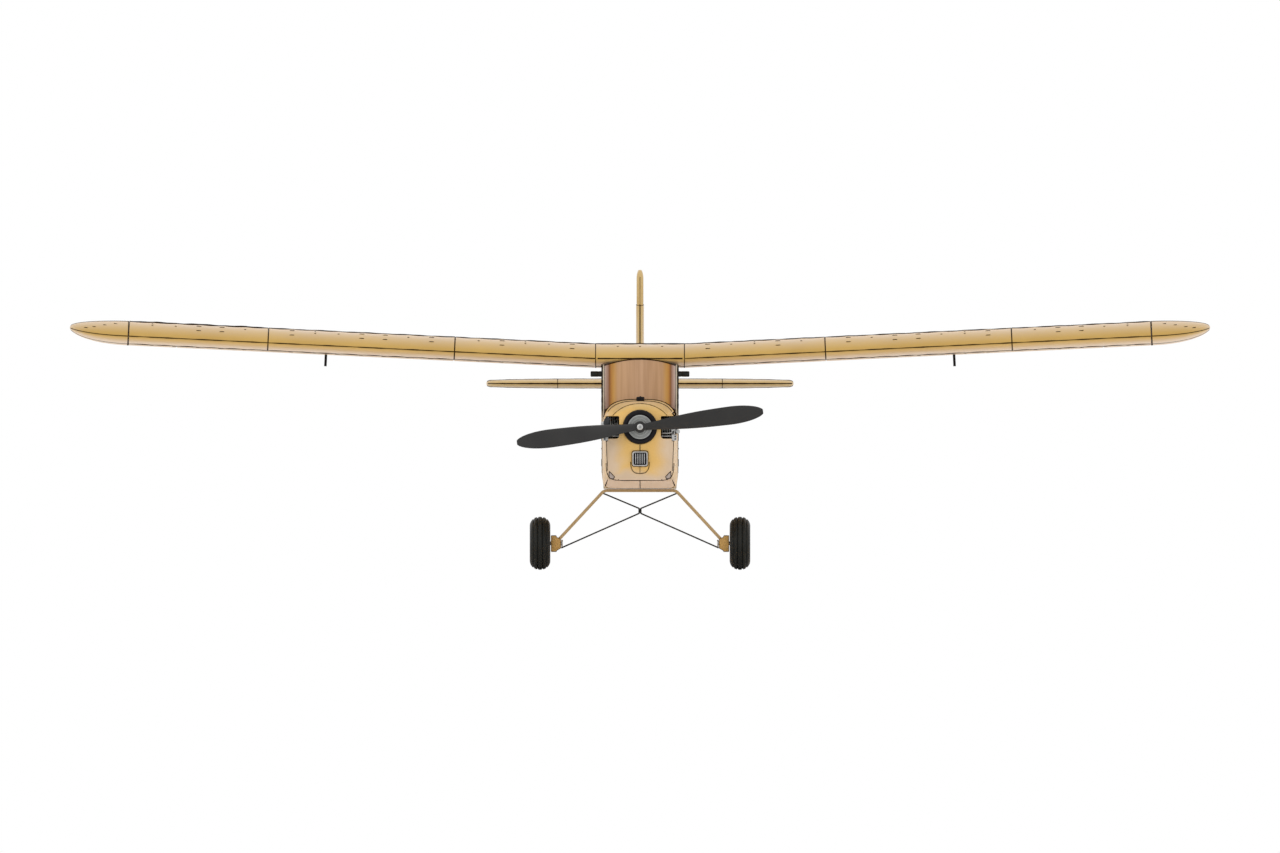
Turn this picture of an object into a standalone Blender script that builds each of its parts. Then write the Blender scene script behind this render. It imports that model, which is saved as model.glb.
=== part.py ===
"""A high-wing cabin monoplane model driven by a rubber motor, built as separate solids.

Every length below is in millimetres. A point is (x, station, z): x to the right of a viewer who faces
the nose, the station measured aft from the propeller's plane, and z up from the ground. place() turns
such a point into the model's frame: metres, +Z up, nose towards -Y, origin under the middle of the box.
"""

import math

import bmesh
import bpy
from mathutils import Matrix, Vector

MODEL = "rubber_band_plane"
MM = 0.001
GAP = 0.3                      # clearance left between pieces that touch

# Overall
NOSE_STATION = -6.0            # front of the propeller nut
TAIL_STATION = 569.0           # rear of the rudder
THRUST_Z = 112.0

# Wing
HALF_SPAN = 447.5
CHORD = 133.4
CAMBER, CAMBER_PLACE, THICKNESS = 0.04, 0.4, 0.125
EDGE_THICKNESS = 0.8           # trailing edge
INCIDENCE = math.radians(2.95)
DIHEDRAL = math.radians(2.75)
WING_STATION = 88.0            # leading edge
WING_Z = 165.7                 # leading edge at the centre
BREAK_X = 34.9                 # the dihedral starts here
SEAMS_X = (145.5, 291.8, 401.2)
AILERON_END_X = 363.0
HINGE_CHORD = 0.80             # the aileron's hinge, as a part of the chord
AILERON_NOSE = 3.6
WALL, RIB = 1.2, 1.5            # skin, and the ribs left at each end of a panel
INNER_NOSE = 0.03              # where the hollow of a panel starts, as a part of the chord
SPAR_CHORD, SPAR_THICKNESS, SPAR_HEIGHT, SPAR_END = 0.30, 4.0, 11.2, 360.0

# Fuselage
HALF_WIDTH = 29.8
SIDE_THICKNESS = 1.6
FORMER_THICKNESS, DECK_THICKNESS, SHEET_THICKNESS = 2.0, 1.0, 0.6
FIREWALL_STATION = 62.3
FIREWALL_THICKNESS = 3.0
CABIN_START = FIREWALL_STATION + FIREWALL_THICKNESS + GAP
CABIN_END = 221.0
TAIL_END = 519.6
BELLY_Z = 63.6
BELLY_LEVEL_END, STERN_LENGTH, STERN_RISE = 140.0, 383.0, 69.4
WING_SEAT_DROP, WING_SEAT_SLOPE = 5.0, 0.01746
DECK_FRONT_Z, DECK_STEP, DECK_STEP_LENGTH = 158.4, 8.4, 54.0
STAB_SEAT_Z, SEAT_SLOPE_LENGTH = 142.3, 175.0
TAPER, TAPER_LENGTH, TAPER_POWER = 25.3, 302.0, 1.1
WINDSHIELD_FOOT_Z, WINDSHIELD_LEAN = 126.0, 0.6657
WINDSHIELD_HALF, WINDSHIELD_BULGE = 27.8, 1.2

# Cowl
COWL_FRONT, COWL_FACE, COWL_CHIN, COWL_REAR = 9.0, 14.5, 34.0, 62.0
COWL_WIDEST_Z = 105.0
COWL_WALL, COWL_SIDE = 1.2, 34.0     # wall, and an x outside its widest place
RING_RADIUS = 13.3
BAY_X, BAY_LOW, BAY_HIGH = 16.3, 102.8, 120.6
PLUG_HOLE, FIREWALL_HOLE = 8.8, 15.0
CYLINDER_STATION, FIN_COUNT, FIN_PITCH, FIN_ROOT, FIN_RADIUS = 30.0, 6, 1.75, 6.2, 8.3
TUBE_STATION, TUBE_RADIUS = 19.0, 0.55

# Tail
STAB_Z, STAB_THICKNESS, STAB_HALF_SPAN = 146.1, 7.0, 120.8
ELEVATOR_HINGE, STAB_ROOT, ELEVATOR_ROOT = 504.0, 47.0, 42.0
ELEVATOR_NOSE = 3.2
ELEVATOR_PIN_HALF, TAIL_EDGE_HALF, TIP_POWER = 99.0, 0.6, 2.4
JOINER_HALF, JOINER_FRONT, JOINER_REAR, JOINER_THICK = 8.5, 507.0, 510.5, 1.1
RUDDER_HINGE, RUDDER_NOSE = 523.0, 2.7
FIN_THICKNESS, FIN_TOP, FIN_BOTTOM = 6.1, 207.0, 149.9
RUDDER_TOP, RUDDER_BOTTOM = 235.2, 124.0
RUDDER_WIDEST_Z, RUDDER_DEPTH = 175.0, 46.0
LUG_CLEARANCE = 0.8
LUG_HALF = 2.2                 # half height of a hinge lug

# Landing gear
AXLE_STATION, WHEEL_RADIUS, WHEEL_X, TYRE_WIDTH = 95.0, 20.8, 78.4, 16.2
STRAP_Z, STRAP_BEND_X, STRAP_THICKNESS, STRAP_WIDTH = 62.3, 28.2, 2.0, 10.0
STRAP_FOOT, STRAP_BEND_RADIUS = (62.7, 25.0), 6.0
WIRE_STATION, WIRE_RADIUS = 103.0, 0.45
AXLE_RADIUS, AXLE_HOLE = 1.5, 1.8
TAIL_AXLE_STATION, TAIL_AXLE_Z, TAIL_WHEEL_RADIUS, TAIL_WHEEL_WIDTH = 529.0, 108.6, 8.5, 5.0

# Propeller and rubber motor
PROP_RADIUS, PROP_TILT, PITCH, HUB_RADIUS, HUB_HALF = 97.5, math.radians(7.25), 195.0, 3.5, 3.2
SHAFT_RADIUS = 0.8
SHAFT_HOLE = 1.1
MOTOR_RADIUS, MOTOR_FRONT, PEG_STATION, PEG_Z = 4.0, 49.0, 432.0, 128.0
PEG_RADIUS, PEG_HOLE, PEG_END = 2.0, 2.3, 3.0
HOOK_STATION, HOOK_RADIUS = 41.0, 5.2

# Pins and pegs
PIN_RADIUS, PIN_HOLE = 0.6, 0.9
DOWEL_RADIUS, DOWEL_HOLE, DOWEL_HALF, DOWEL_Z = 2.2, 2.5, 38.8, 153.6
FRONT_DOWEL, REAR_DOWEL = 96.0, 214.0

TAN = (0.56, 0.38, 0.11)
PALE = (0.66, 0.50, 0.26)
BLACK = (0.02, 0.02, 0.02)
STEEL = (0.55, 0.55, 0.56)


def place(x, station, z):
    middle = (NOSE_STATION + TAIL_STATION) / 2
    return Vector((x, station - middle, z)) * MM


# ---------------------------------------------------------------- helpers

def clear_scene():
    for old in list(bpy.data.objects):
        bpy.data.objects.remove(old, do_unlink=True)


def collection(name):
    made = bpy.data.collections.new(name)
    bpy.context.scene.collection.children.link(made)
    return made


def material(name, colour, roughness, metallic):
    made = bpy.data.materials.new(name)
    made.use_nodes = True
    shader = made.node_tree.nodes["Principled BSDF"]
    shader.inputs["Base Color"].default_value = (*colour, 1.0)
    shader.inputs["Roughness"].default_value = roughness
    shader.inputs["Metallic"].default_value = metallic
    return made


def add_part(name, data, look, origin=(0.0, 0.0, 0.0)):
    """Adds a mesh or curve as a named part. origin is the object's origin in the model's frame."""
    made = bpy.data.objects.new(name, data)
    made.location = origin
    bpy.data.collections[MODEL].objects.link(made)
    data.materials.append(material(name, *look))
    return made


def mesh_from(name, rings, origin=None, closed=True, ring_closed=True, smooth=True):
    """A loft through rings of points. closed caps both ends; ring_closed joins each ring to itself."""
    work = bmesh.new()
    offset = origin or Vector((0.0, 0.0, 0.0))
    rows = [[work.verts.new(Vector(point) - offset) for point in ring] for ring in rings]
    count = len(rows[0])
    for one, two in zip(rows, rows[1:]):
        for i in range(count if ring_closed else count - 1):
            j = (i + 1) % count
            work.faces.new((one[i], one[j], two[j], two[i]))
    if closed:
        work.faces.new(rows[0])
        work.faces.new(rows[-1])
    bmesh.ops.recalc_face_normals(work, faces=work.faces)
    data = bpy.data.meshes.new(name)
    work.to_mesh(data)
    work.free()
    if smooth:
        data.shade_smooth()
        data.set_sharp_from_angle(angle=math.radians(35))
    return data


def prism(name, outline, origin=None):
    """outline gives each end's points: a function of 0 or 1."""
    return mesh_from(name, [outline(0), outline(1)], origin, smooth=False)


def box_mesh(name, x, station, z, origin=None):
    """A box from three (low, high) pairs."""
    def end(i):
        corners = ((0, 0), (1, 0), (1, 1), (0, 1))
        return [place(x[i], station[a], z[b]) for a, b in corners]
    return prism(name, end, origin)


def side_prism(name, points, x, origin=None):
    """A flat outline of (station, z) points, between two values of x."""
    return prism(name, lambda i: [place(x[i], s, z) for s, z in points], origin)


def front_prism(name, points, station, origin=None):
    """A flat outline of (x, z) points, between two stations."""
    return prism(name, lambda i: [place(x, station[i], z) for x, z in points], origin)


def plan_prism(name, points, z, origin=None):
    """A flat outline of (x, station) points, between two heights."""
    return prism(name, lambda i: [place(x, s, z[i]) for x, s in points], origin)


def cutter(name, data):
    made = bpy.data.objects.new(name, data)
    bpy.data.collections["cutters"].objects.link(made)
    made.hide_render = True
    made.display_type = "WIRE"
    return made


def join(target, tool, operation="DIFFERENCE"):
    step = target.modifiers.new(tool.name, "BOOLEAN")
    step.operation = operation
    step.solver = "EXACT"
    step.object = tool


def rod(name, start, end, radius, sides=12):
    """A round bar mesh between two points of the model's frame."""
    axis = (end - start).normalized()
    across = axis.orthogonal().normalized()
    other = axis.cross(across)
    turns = [2 * math.pi * i / sides for i in range(sides)]
    ring = [(across * math.cos(a) + other * math.sin(a)) * radius * MM for a in turns]
    return mesh_from(name, [[start + p for p in ring], [end + p for p in ring]])


def turned(name, profile, look, origin, axis, steps=24):
    """A Screw around the axis: profile is (radius, height) in millimetres, running down its outer side."""
    data = bpy.data.meshes.new(name)
    points = [(r * MM, 0.0, h * MM) for r, h in profile]
    closed = profile[0][0] > 0
    edges = [(i, i + 1) for i in range(len(points) - 1)]
    if closed:
        edges.append((len(points) - 1, 0))
    data.from_pydata(points, edges, [])
    made = add_part(name, data, look, origin)
    made.rotation_euler = Vector((0, 0, 1)).rotation_difference(Vector(axis)).to_euler()
    screw = made.modifiers.new("turn", "SCREW")
    screw.steps = steps
    screw.render_steps = steps
    screw.use_merge_vertices = True
    screw.merge_threshold = 0.00001
    screw.use_smooth_shade = True
    return made


def wire(name, points, radius, look, origin=None):
    """A round wire through points of the model's frame."""
    offset = origin or Vector((0.0, 0.0, 0.0))
    data = bpy.data.curves.new(name, "CURVE")
    data.dimensions = "3D"
    data.bevel_depth = radius * MM
    data.bevel_resolution = 2
    data.use_fill_caps = True
    spline = data.splines.new("POLY")
    spline.points.add(len(points) - 1)
    for slot, point in zip(spline.points, points):
        slot.co = (*(point - offset), 1.0)
    return add_part(name, data, look, offset)


def wire_mesh(name, points, radius, sides=8):
    """A wire as a closed mesh: a ring at each point, square to the bend."""
    rings = []
    for i, point in enumerate(points):
        before = points[max(i - 1, 0)]
        after = points[min(i + 1, len(points) - 1)]
        along = (after - before).normalized()
        across = along.cross(Vector((0, 1, 0))).normalized()
        other = along.cross(across)
        turns = [2 * math.pi * k / sides for k in range(sides)]
        rings.append([point + (across * math.cos(a) + other * math.sin(a)) * radius * MM for a in turns])
    return mesh_from(name, rings)


# ---------------------------------------------------------------- shapes that follow a rule

def camber_and_half(x):
    """Camber line and half thickness at a part of the chord, as parts of the chord."""
    if x < CAMBER_PLACE:
        camber = CAMBER / CAMBER_PLACE ** 2 * (2 * CAMBER_PLACE * x - x * x)
    else:
        rear = (1 - CAMBER_PLACE) ** 2
        camber = CAMBER / rear * (1 - 2 * CAMBER_PLACE + 2 * CAMBER_PLACE * x - x * x)
    half = 0.2969 * math.sqrt(x) - 0.126 * x - 0.3516 * x ** 2 + 0.2843 * x ** 3 - 0.1036 * x ** 4
    return camber, 5 * THICKNESS * half + x * EDGE_THICKNESS / 2 / CHORD


def on_chord(x, height):
    """(aft, up) from the leading edge for a point at x of the chord, height above the chord line."""
    aft = x * CHORD * math.cos(INCIDENCE) + height * math.sin(INCIDENCE)
    up = -x * CHORD * math.sin(INCIDENCE) + height * math.cos(INCIDENCE)
    return aft, up


def surface(x, upper, inset=0.0):
    camber, half = camber_and_half(x)
    height = (camber + half) * CHORD - inset if upper else (camber - half) * CHORD + inset
    return on_chord(x, height)


def aerofoil(start=0.0, end=1.0, count=9, inset=0.0):
    """Section points from the rear of the upper side round to the rear of the lower side."""
    places = [start + (end - start) * (1 - math.cos(math.pi * i / count)) / 2 for i in range(count + 1)]
    upper = [surface(x, True, inset) for x in reversed(places)]
    lower = [surface(x, False, inset) for x in (places[1:] if start == 0.0 else places)]
    return upper + lower


def panel_point(side, span, aft, up):
    """A point of an outer wing panel. span runs along the panel from the dihedral break."""
    x = BREAK_X + span * math.cos(DIHEDRAL) - up * math.sin(DIHEDRAL)
    z = WING_Z + span * math.sin(DIHEDRAL) + up * math.cos(DIHEDRAL)
    return place(side * x, WING_STATION + aft, z)


def panel_ring(side, span, section):
    return [panel_point(side, span, aft, up) for aft, up in section]


def span_of(x):
    return (x - BREAK_X) / math.cos(DIHEDRAL)


def hinge_height():
    return camber_and_half(HINGE_CHORD)[0] * CHORD


def belly(station):
    rise = max(station - BELLY_LEVEL_END, 0.0) / STERN_LENGTH
    return BELLY_Z + STERN_RISE * rise ** 1.25


def side_top(station):
    """Top edge of the fuselage side: under the wing, then down to the stabiliser's seat."""
    if station <= CABIN_END:
        return WING_Z - WING_SEAT_DROP - (station - WING_STATION) * WING_SEAT_SLOPE
    drop = min((station - CABIN_END) / DECK_STEP_LENGTH, 1.0)
    slope = min(max(station - CABIN_END - DECK_STEP_LENGTH, 0.0) / SEAT_SLOPE_LENGTH, 1.0)
    foot = DECK_FRONT_Z - DECK_STEP
    return DECK_FRONT_Z - DECK_STEP * drop * drop * (3 - 2 * drop) - (foot - STAB_SEAT_Z) * slope


def half_width(station):
    return HALF_WIDTH - TAPER * (max(station - CABIN_END, 0.0) / TAPER_LENGTH) ** TAPER_POWER


def cowl_ring(half, top, bottom, upper_power, lower_power, centre, station, inset=0.0, count=32):
    """A rounded outline: one power for the arch above the widest point, another for the box below."""
    ring = []
    for i in range(count):
        turn = 2 * math.pi * (i + 0.5) / count
        c, s = math.cos(turn), math.sin(turn)
        power = 2 / (upper_power if s > 0 else lower_power)
        reach = (top - centre) if s > 0 else (centre - bottom)
        x = math.copysign(abs(c) ** power, c) * (half - inset)
        z = centre + math.copysign(abs(s) ** power, s) * (reach - inset)
        ring.append(place(x, station, z))
    return ring


def cowl_rear_ring(station, inset=0.0):
    return cowl_ring(29.4, 133.4, BELLY_Z + 0.2, 3.3, 9.0, COWL_WIDEST_Z, station, inset)


# ---------------------------------------------------------------- nose

def make_cowl():
    look = (TAN, 0.45, 0.0)
    rings = [
        cowl_ring(12.6, 124.6, 99.4, 2.0, 2.0, THRUST_Z, COWL_FRONT - 0.1),
        cowl_ring(17.5, 126.6, 90.0, 2.0, 2.6, 110.0, COWL_FRONT + 0.5),
        cowl_ring(23.0, 128.6, 78.0, 2.0, 4.5, 107.5, COWL_FRONT + 2.4),
        cowl_ring(26.7, 130.3, 70.1, 2.1, 8.0, COWL_WIDEST_Z, COWL_FACE),
        cowl_ring(27.5, 131.0, 67.0, 2.5, 8.5, COWL_WIDEST_Z, 24.0),
        cowl_ring(28.2, 131.6, BELLY_Z + 0.2, 2.8, 9.0, COWL_WIDEST_Z, COWL_CHIN),
        cowl_rear_ring(COWL_REAR),
    ]
    cowl = add_part("cowl", mesh_from("cowl", rings, closed=False), look)
    shell = cowl.modifiers.new("shell", "SOLIDIFY")
    shell.thickness = COWL_WALL * MM
    shell.offset = -1
    ring_hole = rod("hole", place(0, 0, THRUST_Z), place(0, 30, THRUST_Z), RING_RADIUS + GAP, 32)
    join(cowl, cutter("ring_hole", ring_hole))
    for name, side in (("right", 1), ("left", -1)):
        bay = box_mesh("bay", sorted((side * BAY_X, side * COWL_SIDE)), (4.0, 48.0),
                       (BAY_LOW, BAY_HIGH))
        join(cowl, cutter(f"bay_{name}", bay))
        pocket = box_mesh("pocket", sorted((side * 24.9, side * COWL_SIDE)), (4.0, 21.0), (100.8, 104.0))
        join(cowl, cutter(f"flange_pocket_{name}", pocket))


def make_nose():
    centre = place(0, 0, THRUST_Z)
    forward = (0, -1, 0)
    socket = [(RING_RADIUS - 0.9, -6.3), (RING_RADIUS, -7.4), (RING_RADIUS, -24.0),
              (PLUG_HOLE, -24.0), (PLUG_HOLE, -10.3), (10.2, -10.3), (10.2, -7.2), (11.0, -6.3)]
    turned("nose_ring", socket, (BLACK, 0.5, 0.0), centre, forward, 24)
    neck = PLUG_HOLE - GAP
    plug = [(9.5, -6.8), (9.9, -7.2), (9.9, -10.0), (neck, -10.0), (neck, -30.0), (2.3, -30.0), (2.3, -6.8)]
    turned("nose_plug", plug, ((0.35, 0.36, 0.35), 0.45, 0.2), centre, forward, 24)
    bush = [(2.6, -3.7), (3.2, -4.3), (3.2, -6.4), (2.0, -6.4), (2.0, -31.0), (SHAFT_HOLE, -31.0),
            (SHAFT_HOLE, -3.7)]
    turned("thrust_bearing", bush, ((0.55, 0.40, 0.15), 0.35, 1.0), centre, forward, 20)


def make_cylinder(name, side):
    """A dummy cylinder with its fins, lying across the bay."""
    origin = place(0, CYLINDER_STATION, (BAY_LOW + BAY_HIGH) / 2)
    profile = [(0.0, 29.2), (4.6, 29.2), (5.4, 28.4), (5.4, 25.8)]
    for i in range(FIN_COUNT):
        outer = 25.2 - i * FIN_PITCH
        profile += [(FIN_ROOT, outer), (FIN_RADIUS, outer - 0.2), (FIN_RADIUS, outer - 0.7),
                    (FIN_ROOT, outer - 0.9)]
    profile += [(FIN_ROOT, 13.8), (0.0, 13.8)]
    turned(name, profile, (BLACK, 0.45, 0.3), origin, (side, 0, 0), 14)


def make_pushrods(name, side):
    """Two tubes in front of the cylinder, held by the rocker box and the flange at their ends."""
    def path(points):
        return [place(side * x, TUBE_STATION, z) for x, z in points]

    upper = path([(17.3, 107.1), (23.4, 107.1), (24.8, 107.9), (25.4, 109.5), (25.4, 112.0)])
    lower = path([(16.8, 104.7), (24.6, 104.7), (26.2, 105.4), (26.9, 107.0), (26.9, 112.0)])
    box = box_mesh(name, sorted((side * 24.4, side * 28.0)), (17.0, 20.6), (109.0, 114.4))
    made = add_part(name, box, (STEEL, 0.3, 1.0))
    join(made, cutter(f"{name}_upper", wire_mesh("upper", upper, TUBE_RADIUS)), "UNION")
    join(made, cutter(f"{name}_lower", wire_mesh("lower", lower, TUBE_RADIUS)), "UNION")
    flange = box_mesh("flange", sorted((side * 25.4, side * 28.9)), (17.4, 20.2), (101.3, 105.9))
    join(made, cutter(f"{name}_flange", flange), "UNION")


def make_fuel_cap():
    profile = [(0.0, 2.7), (2.4, 2.7), (3.05, 2.1), (3.05, 1.3), (2.2, 0.8), (2.2, 0.0), (0.0, 0.0)]
    turned("fuel_cap", profile, (BLACK, 0.4, 0.2), place(0.3, 55.0, 133.2), (0, 0, 1), 16)


def make_intake_grille():
    """A framed grille of upright louvres, in front of the cowl's face."""
    low, high, half = 81.2, 93.0, 6.15
    front, rear = 7.0, 9.1
    grille = add_part("intake_grille", box_mesh("intake_grille", (-half, half), (front, rear), (low, high)),
                      (STEEL, 0.4, 0.8))
    slots, rim = 5, 1.5
    pitch = (2 * half - 2 * rim) / slots
    for i in range(slots):
        left = -half + rim + i * pitch
        slot = box_mesh("slot", (left + 0.2, left + pitch - 0.2), (front - 1, front + 1.2),
                        (low + rim, high - rim))
        join(grille, cutter(f"louvre_{i}", slot))


# ---------------------------------------------------------------- fuselage

def make_firewall():
    rings = [cowl_rear_ring(FIREWALL_STATION), cowl_rear_ring(FIREWALL_STATION + FIREWALL_THICKNESS)]
    wall = add_part("firewall", mesh_from("firewall", rings), (PALE, 0.6, 0.0))
    hole = rod("hole", place(0, 55, THRUST_Z), place(0, 75, THRUST_Z), FIREWALL_HOLE, 24)
    join(wall, cutter("motor_hole", hole))


def windshield_slope(z):
    """Station of the side's front edge, which follows the windshield."""
    return CABIN_START + max(z - WINDSHIELD_FOOT_Z, 0.0) * WINDSHIELD_LEAN


def make_side(name, side):
    stations = (92.0, 150.0, 221.0, 232.0, 248.0, 262.0, 275.0, 320.0, 365.0, 410.0, 450.0, 490.0, TAIL_END)
    rows = (0.0, 0.35, 0.65, 0.83, 1.0)
    rings = []
    front = []
    for t in rows:
        z = BELLY_Z + t * (side_top(WING_STATION) - BELLY_Z)
        front.append(place(side * HALF_WIDTH, windshield_slope(z), z))
    rings.append(front)
    for station in stations:
        low, high = belly(station), side_top(station)
        x = side * half_width(station)
        rings.append([place(x, station, low + t * (high - low)) for t in rows])
    if side < 0:
        rings.reverse()
    data = mesh_from(name, rings, closed=False, ring_closed=False)
    face_outward(data, Vector((side, 0, 0)))
    made = add_part(name, data, (TAN, 0.5, 0.0))
    sheet = made.modifiers.new("sheet", "SOLIDIFY")
    sheet.thickness = SIDE_THICKNESS * MM
    sheet.offset = -1
    across = sorted((side * 22.0, side * 40.0))
    for label, start, end in (("front", 106.0, 152.0), ("rear", 158.0, 206.0)):
        outline = rounded_outline(start, end, 114.0, 147.0, 5.0)
        join(made, cutter(f"{label}_window_{name}", side_prism("window", outline, across)))
    for label, station, z, radius in (("front", FRONT_DOWEL, DOWEL_Z, DOWEL_HOLE),
                                      ("rear", REAR_DOWEL, DOWEL_Z, DOWEL_HOLE),
                                      ("motor", PEG_STATION, PEG_Z, PEG_HOLE)):
        hole = rod("hole", place(side * 5, station, z), place(side * 45, station, z), radius)
        join(made, cutter(f"{label}_peg_hole_{name}", hole))
    step = box_mesh("step", (-60.0, 60.0), (502.5, 530.0), (138.5, 160.0))
    join(made, cutter(f"elevator_step_{name}", step))


def face_outward(data, direction):
    """Turns an open sheet over when its faces look against direction."""
    total = sum((face.normal * face.area for face in data.polygons), Vector((0, 0, 0)))
    if total.dot(direction) < 0:
        data.flip_normals()


def rounded_outline(a0, a1, b0, b1, radius, steps=3):
    points = []
    centres = ((a1 - radius, b1 - radius, 0), (a0 + radius, b1 - radius, 90),
               (a0 + radius, b0 + radius, 180), (a1 - radius, b0 + radius, 270))
    for a, b, start in centres:
        for i in range(steps + 1):
            turn = math.radians(start + 90 * i / steps)
            points.append((a + radius * math.cos(turn), b + radius * math.sin(turn)))
    return points


def make_belly_panel():
    stations = (CABIN_START, BELLY_LEVEL_END, 165.0, 200.0, 245.0, 290.0, 340.0, 400.0, 460.0, 512.0)
    rings = []
    for station in stations:
        half = half_width(station) - SIDE_THICKNESS - GAP
        rings.append([place(x, station, belly(station)) for x in (-half, 0.0, half)])
    data = mesh_from("belly_panel", rings, closed=False, ring_closed=False)
    face_outward(data, Vector((0, 0, -1)))
    made = add_part("belly_panel", data, (TAN, 0.5, 0.0))
    sheet = made.modifiers.new("sheet", "SOLIDIFY")
    sheet.thickness = SIDE_THICKNESS * MM
    sheet.offset = -1


def deck_height(station):
    """How far the decking rises above the sides."""
    if station < CABIN_END + DECK_STEP_LENGTH:
        return 2.0 + 5.5 * (station - CABIN_END) / DECK_STEP_LENGTH
    return 7.5 - 3.0 * (station - CABIN_END - DECK_STEP_LENGTH) / SEAT_SLOPE_LENGTH


def make_turtle_deck():
    """The rounded decking from the wing's trailing edge to the fin."""
    steps = 7
    rings = []
    for station in (222.6, 232.0, 248.0, 262.0, 275.0, 320.0, 365.0, 410.0, 448.0):
        ring = []
        for inset, order in ((0.0, range(steps + 1)), (DECK_THICKNESS, reversed(range(steps + 1)))):
            for i in order:
                turn = math.pi * i / steps
                z = side_top(station) + GAP + (deck_height(station) - inset) * math.sin(turn)
                ring.append(place((half_width(station) - inset) * math.cos(turn), station, z))
        rings.append(ring)
    add_part("turtle_deck", mesh_from("turtle_deck", rings), (TAN, 0.5, 0.0))


def make_former(name, station, hole_half, hole_low, hole_high):
    """A frame across the fuselage, with a hole that the rubber motor passes through."""
    rear = station + FORMER_THICKNESS
    half = half_width(rear) - SIDE_THICKNESS - GAP - 0.1
    low = belly(rear) + SIDE_THICKNESS + GAP + 0.2
    high = side_top(rear) - 1.0
    outline = ((-half, low), (half, low), (half, high), (-half, high))
    made = add_part(name, front_prism(name, outline, (station, rear)), (PALE, 0.6, 0.0))
    hole = rounded_outline(-hole_half, hole_half, hole_low, hole_high, 4.0)
    join(made, cutter(f"{name}_hole", front_prism("hole", hole, (station - 5, station + 7))))


def make_windshield():
    """A sheet wrapped from the firewall's arch up to the wing's leading edge."""
    rings = []
    rows, columns = 4, 10
    for j in range(rows + 1):
        v = j / rows
        ring = []
        for i in range(columns + 1):
            u = 2 * i / columns - 1
            low = (66.9 + 1.4 * u * u, 133.7 - 8.0 * u * u)
            high = (86.4 + 1.8 * u * u, 165.1 - 4.9 * u * u)
            bulge = WINDSHIELD_BULGE * math.sin(math.pi * v)
            station = low[0] + (high[0] - low[0]) * v - bulge
            ring.append(place(WINDSHIELD_HALF * u, station, low[1] + (high[1] - low[1]) * v))
        rings.append(ring)
    data = mesh_from("windshield", rings, closed=False, ring_closed=False)
    face_outward(data, Vector((0, -1, 0)))
    made = add_part("windshield", data, ((0.42, 0.23, 0.12), 0.25, 0.0))
    sheet = made.modifiers.new("sheet", "SOLIDIFY")
    sheet.thickness = SHEET_THICKNESS * MM
    sheet.offset = -1


def make_side_window(name, side):
    inner = HALF_WIDTH - SIDE_THICKNESS - GAP
    across = sorted((side * inner, side * (inner - SHEET_THICKNESS)))
    data = side_prism(name, rounded_outline(100.0, 212.0, 109.0, 149.8, 4.0), across)
    add_part(name, data, ((0.42, 0.23, 0.12), 0.2, 0.0))


def make_dowels():
    for name, station in (("wing_peg_front", FRONT_DOWEL), ("wing_peg_rear", REAR_DOWEL)):
        profile = [(0.0, DOWEL_HALF), (DOWEL_RADIUS - 0.5, DOWEL_HALF), (DOWEL_RADIUS, DOWEL_HALF - 0.5),
                   (DOWEL_RADIUS, 0.5 - DOWEL_HALF), (DOWEL_RADIUS - 0.5, -DOWEL_HALF), (0.0, -DOWEL_HALF)]
        turned(name, profile, (BLACK, 0.5, 0.0), place(0, station, DOWEL_Z), (1, 0, 0), 16)
    half = half_width(PEG_STATION) + PEG_END
    profile = [(0.0, half), (PEG_RADIUS, half), (PEG_RADIUS, -half), (0.0, -half)]
    turned("rear_motor_peg", profile, (STEEL, 0.35, 1.0), place(0, PEG_STATION, PEG_Z), (1, 0, 0), 16)


def make_rubber_motor():
    """The wound skein from the shaft's hook to the rear peg, as one plain bar."""
    end = PEG_STATION - 2.8
    points = []
    for i in range(9):
        t = i / 8
        points.append(place(0, MOTOR_FRONT + (end - MOTOR_FRONT) * t, THRUST_Z + (PEG_Z - THRUST_Z) * t))
    wire("rubber_motor", points, MOTOR_RADIUS, ((0.45, 0.33, 0.16), 0.7, 0.0))


# ---------------------------------------------------------------- wing

def bay_cutter(name, side, start, end, rear):
    """The hollow between two ribs, inside the skin."""
    section = aerofoil(INNER_NOSE, rear, 6, WALL)
    return cutter(name, mesh_from(name, [panel_ring(side, start, section), panel_ring(side, end, section)]))


def spar_rings(margin, end):
    """Rectangles along the spar from tip to tip, grown by margin."""
    aft, up = on_chord(SPAR_CHORD, camber_and_half(SPAR_CHORD)[0] * CHORD)
    wide, tall = SPAR_THICKNESS / 2 + margin, SPAR_HEIGHT / 2 + margin
    corners = ((-wide, -tall), (wide, -tall), (wide, tall), (-wide, tall))

    def straight(x):
        return [place(x, WING_STATION + aft + a, WING_Z + up + b) for a, b in corners]

    def angled(side):
        return [panel_point(side, end, aft + a, up + b) for a, b in corners]

    return [angled(-1), straight(-BREAK_X), straight(BREAK_X), angled(1)]


def make_spar():
    add_part("wing_spar", mesh_from("wing_spar", spar_rings(0.0, SPAR_END), smooth=False), (PALE, 0.7, 0.0))


def make_wing_centre(spar_hole):
    half = BREAK_X - GAP / 2
    section = aerofoil()
    rings = [[place(x, WING_STATION + a, WING_Z + b) for a, b in section] for x in (-half, half)]
    made = add_part("wing_centre", mesh_from("wing_centre", rings), (TAN, 0.5, 0.0))
    inner = aerofoil(INNER_NOSE, 0.9, 6, WALL)
    for i, (start, end) in enumerate(((-half + RIB, -RIB / 2), (RIB / 2, half - RIB))):
        rings = [[place(x, WING_STATION + a, WING_Z + b) for a, b in inner] for x in (start, end)]
        join(made, cutter(f"centre_bay_{i}", mesh_from("bay", rings)))
    join(made, spar_hole)


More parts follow.
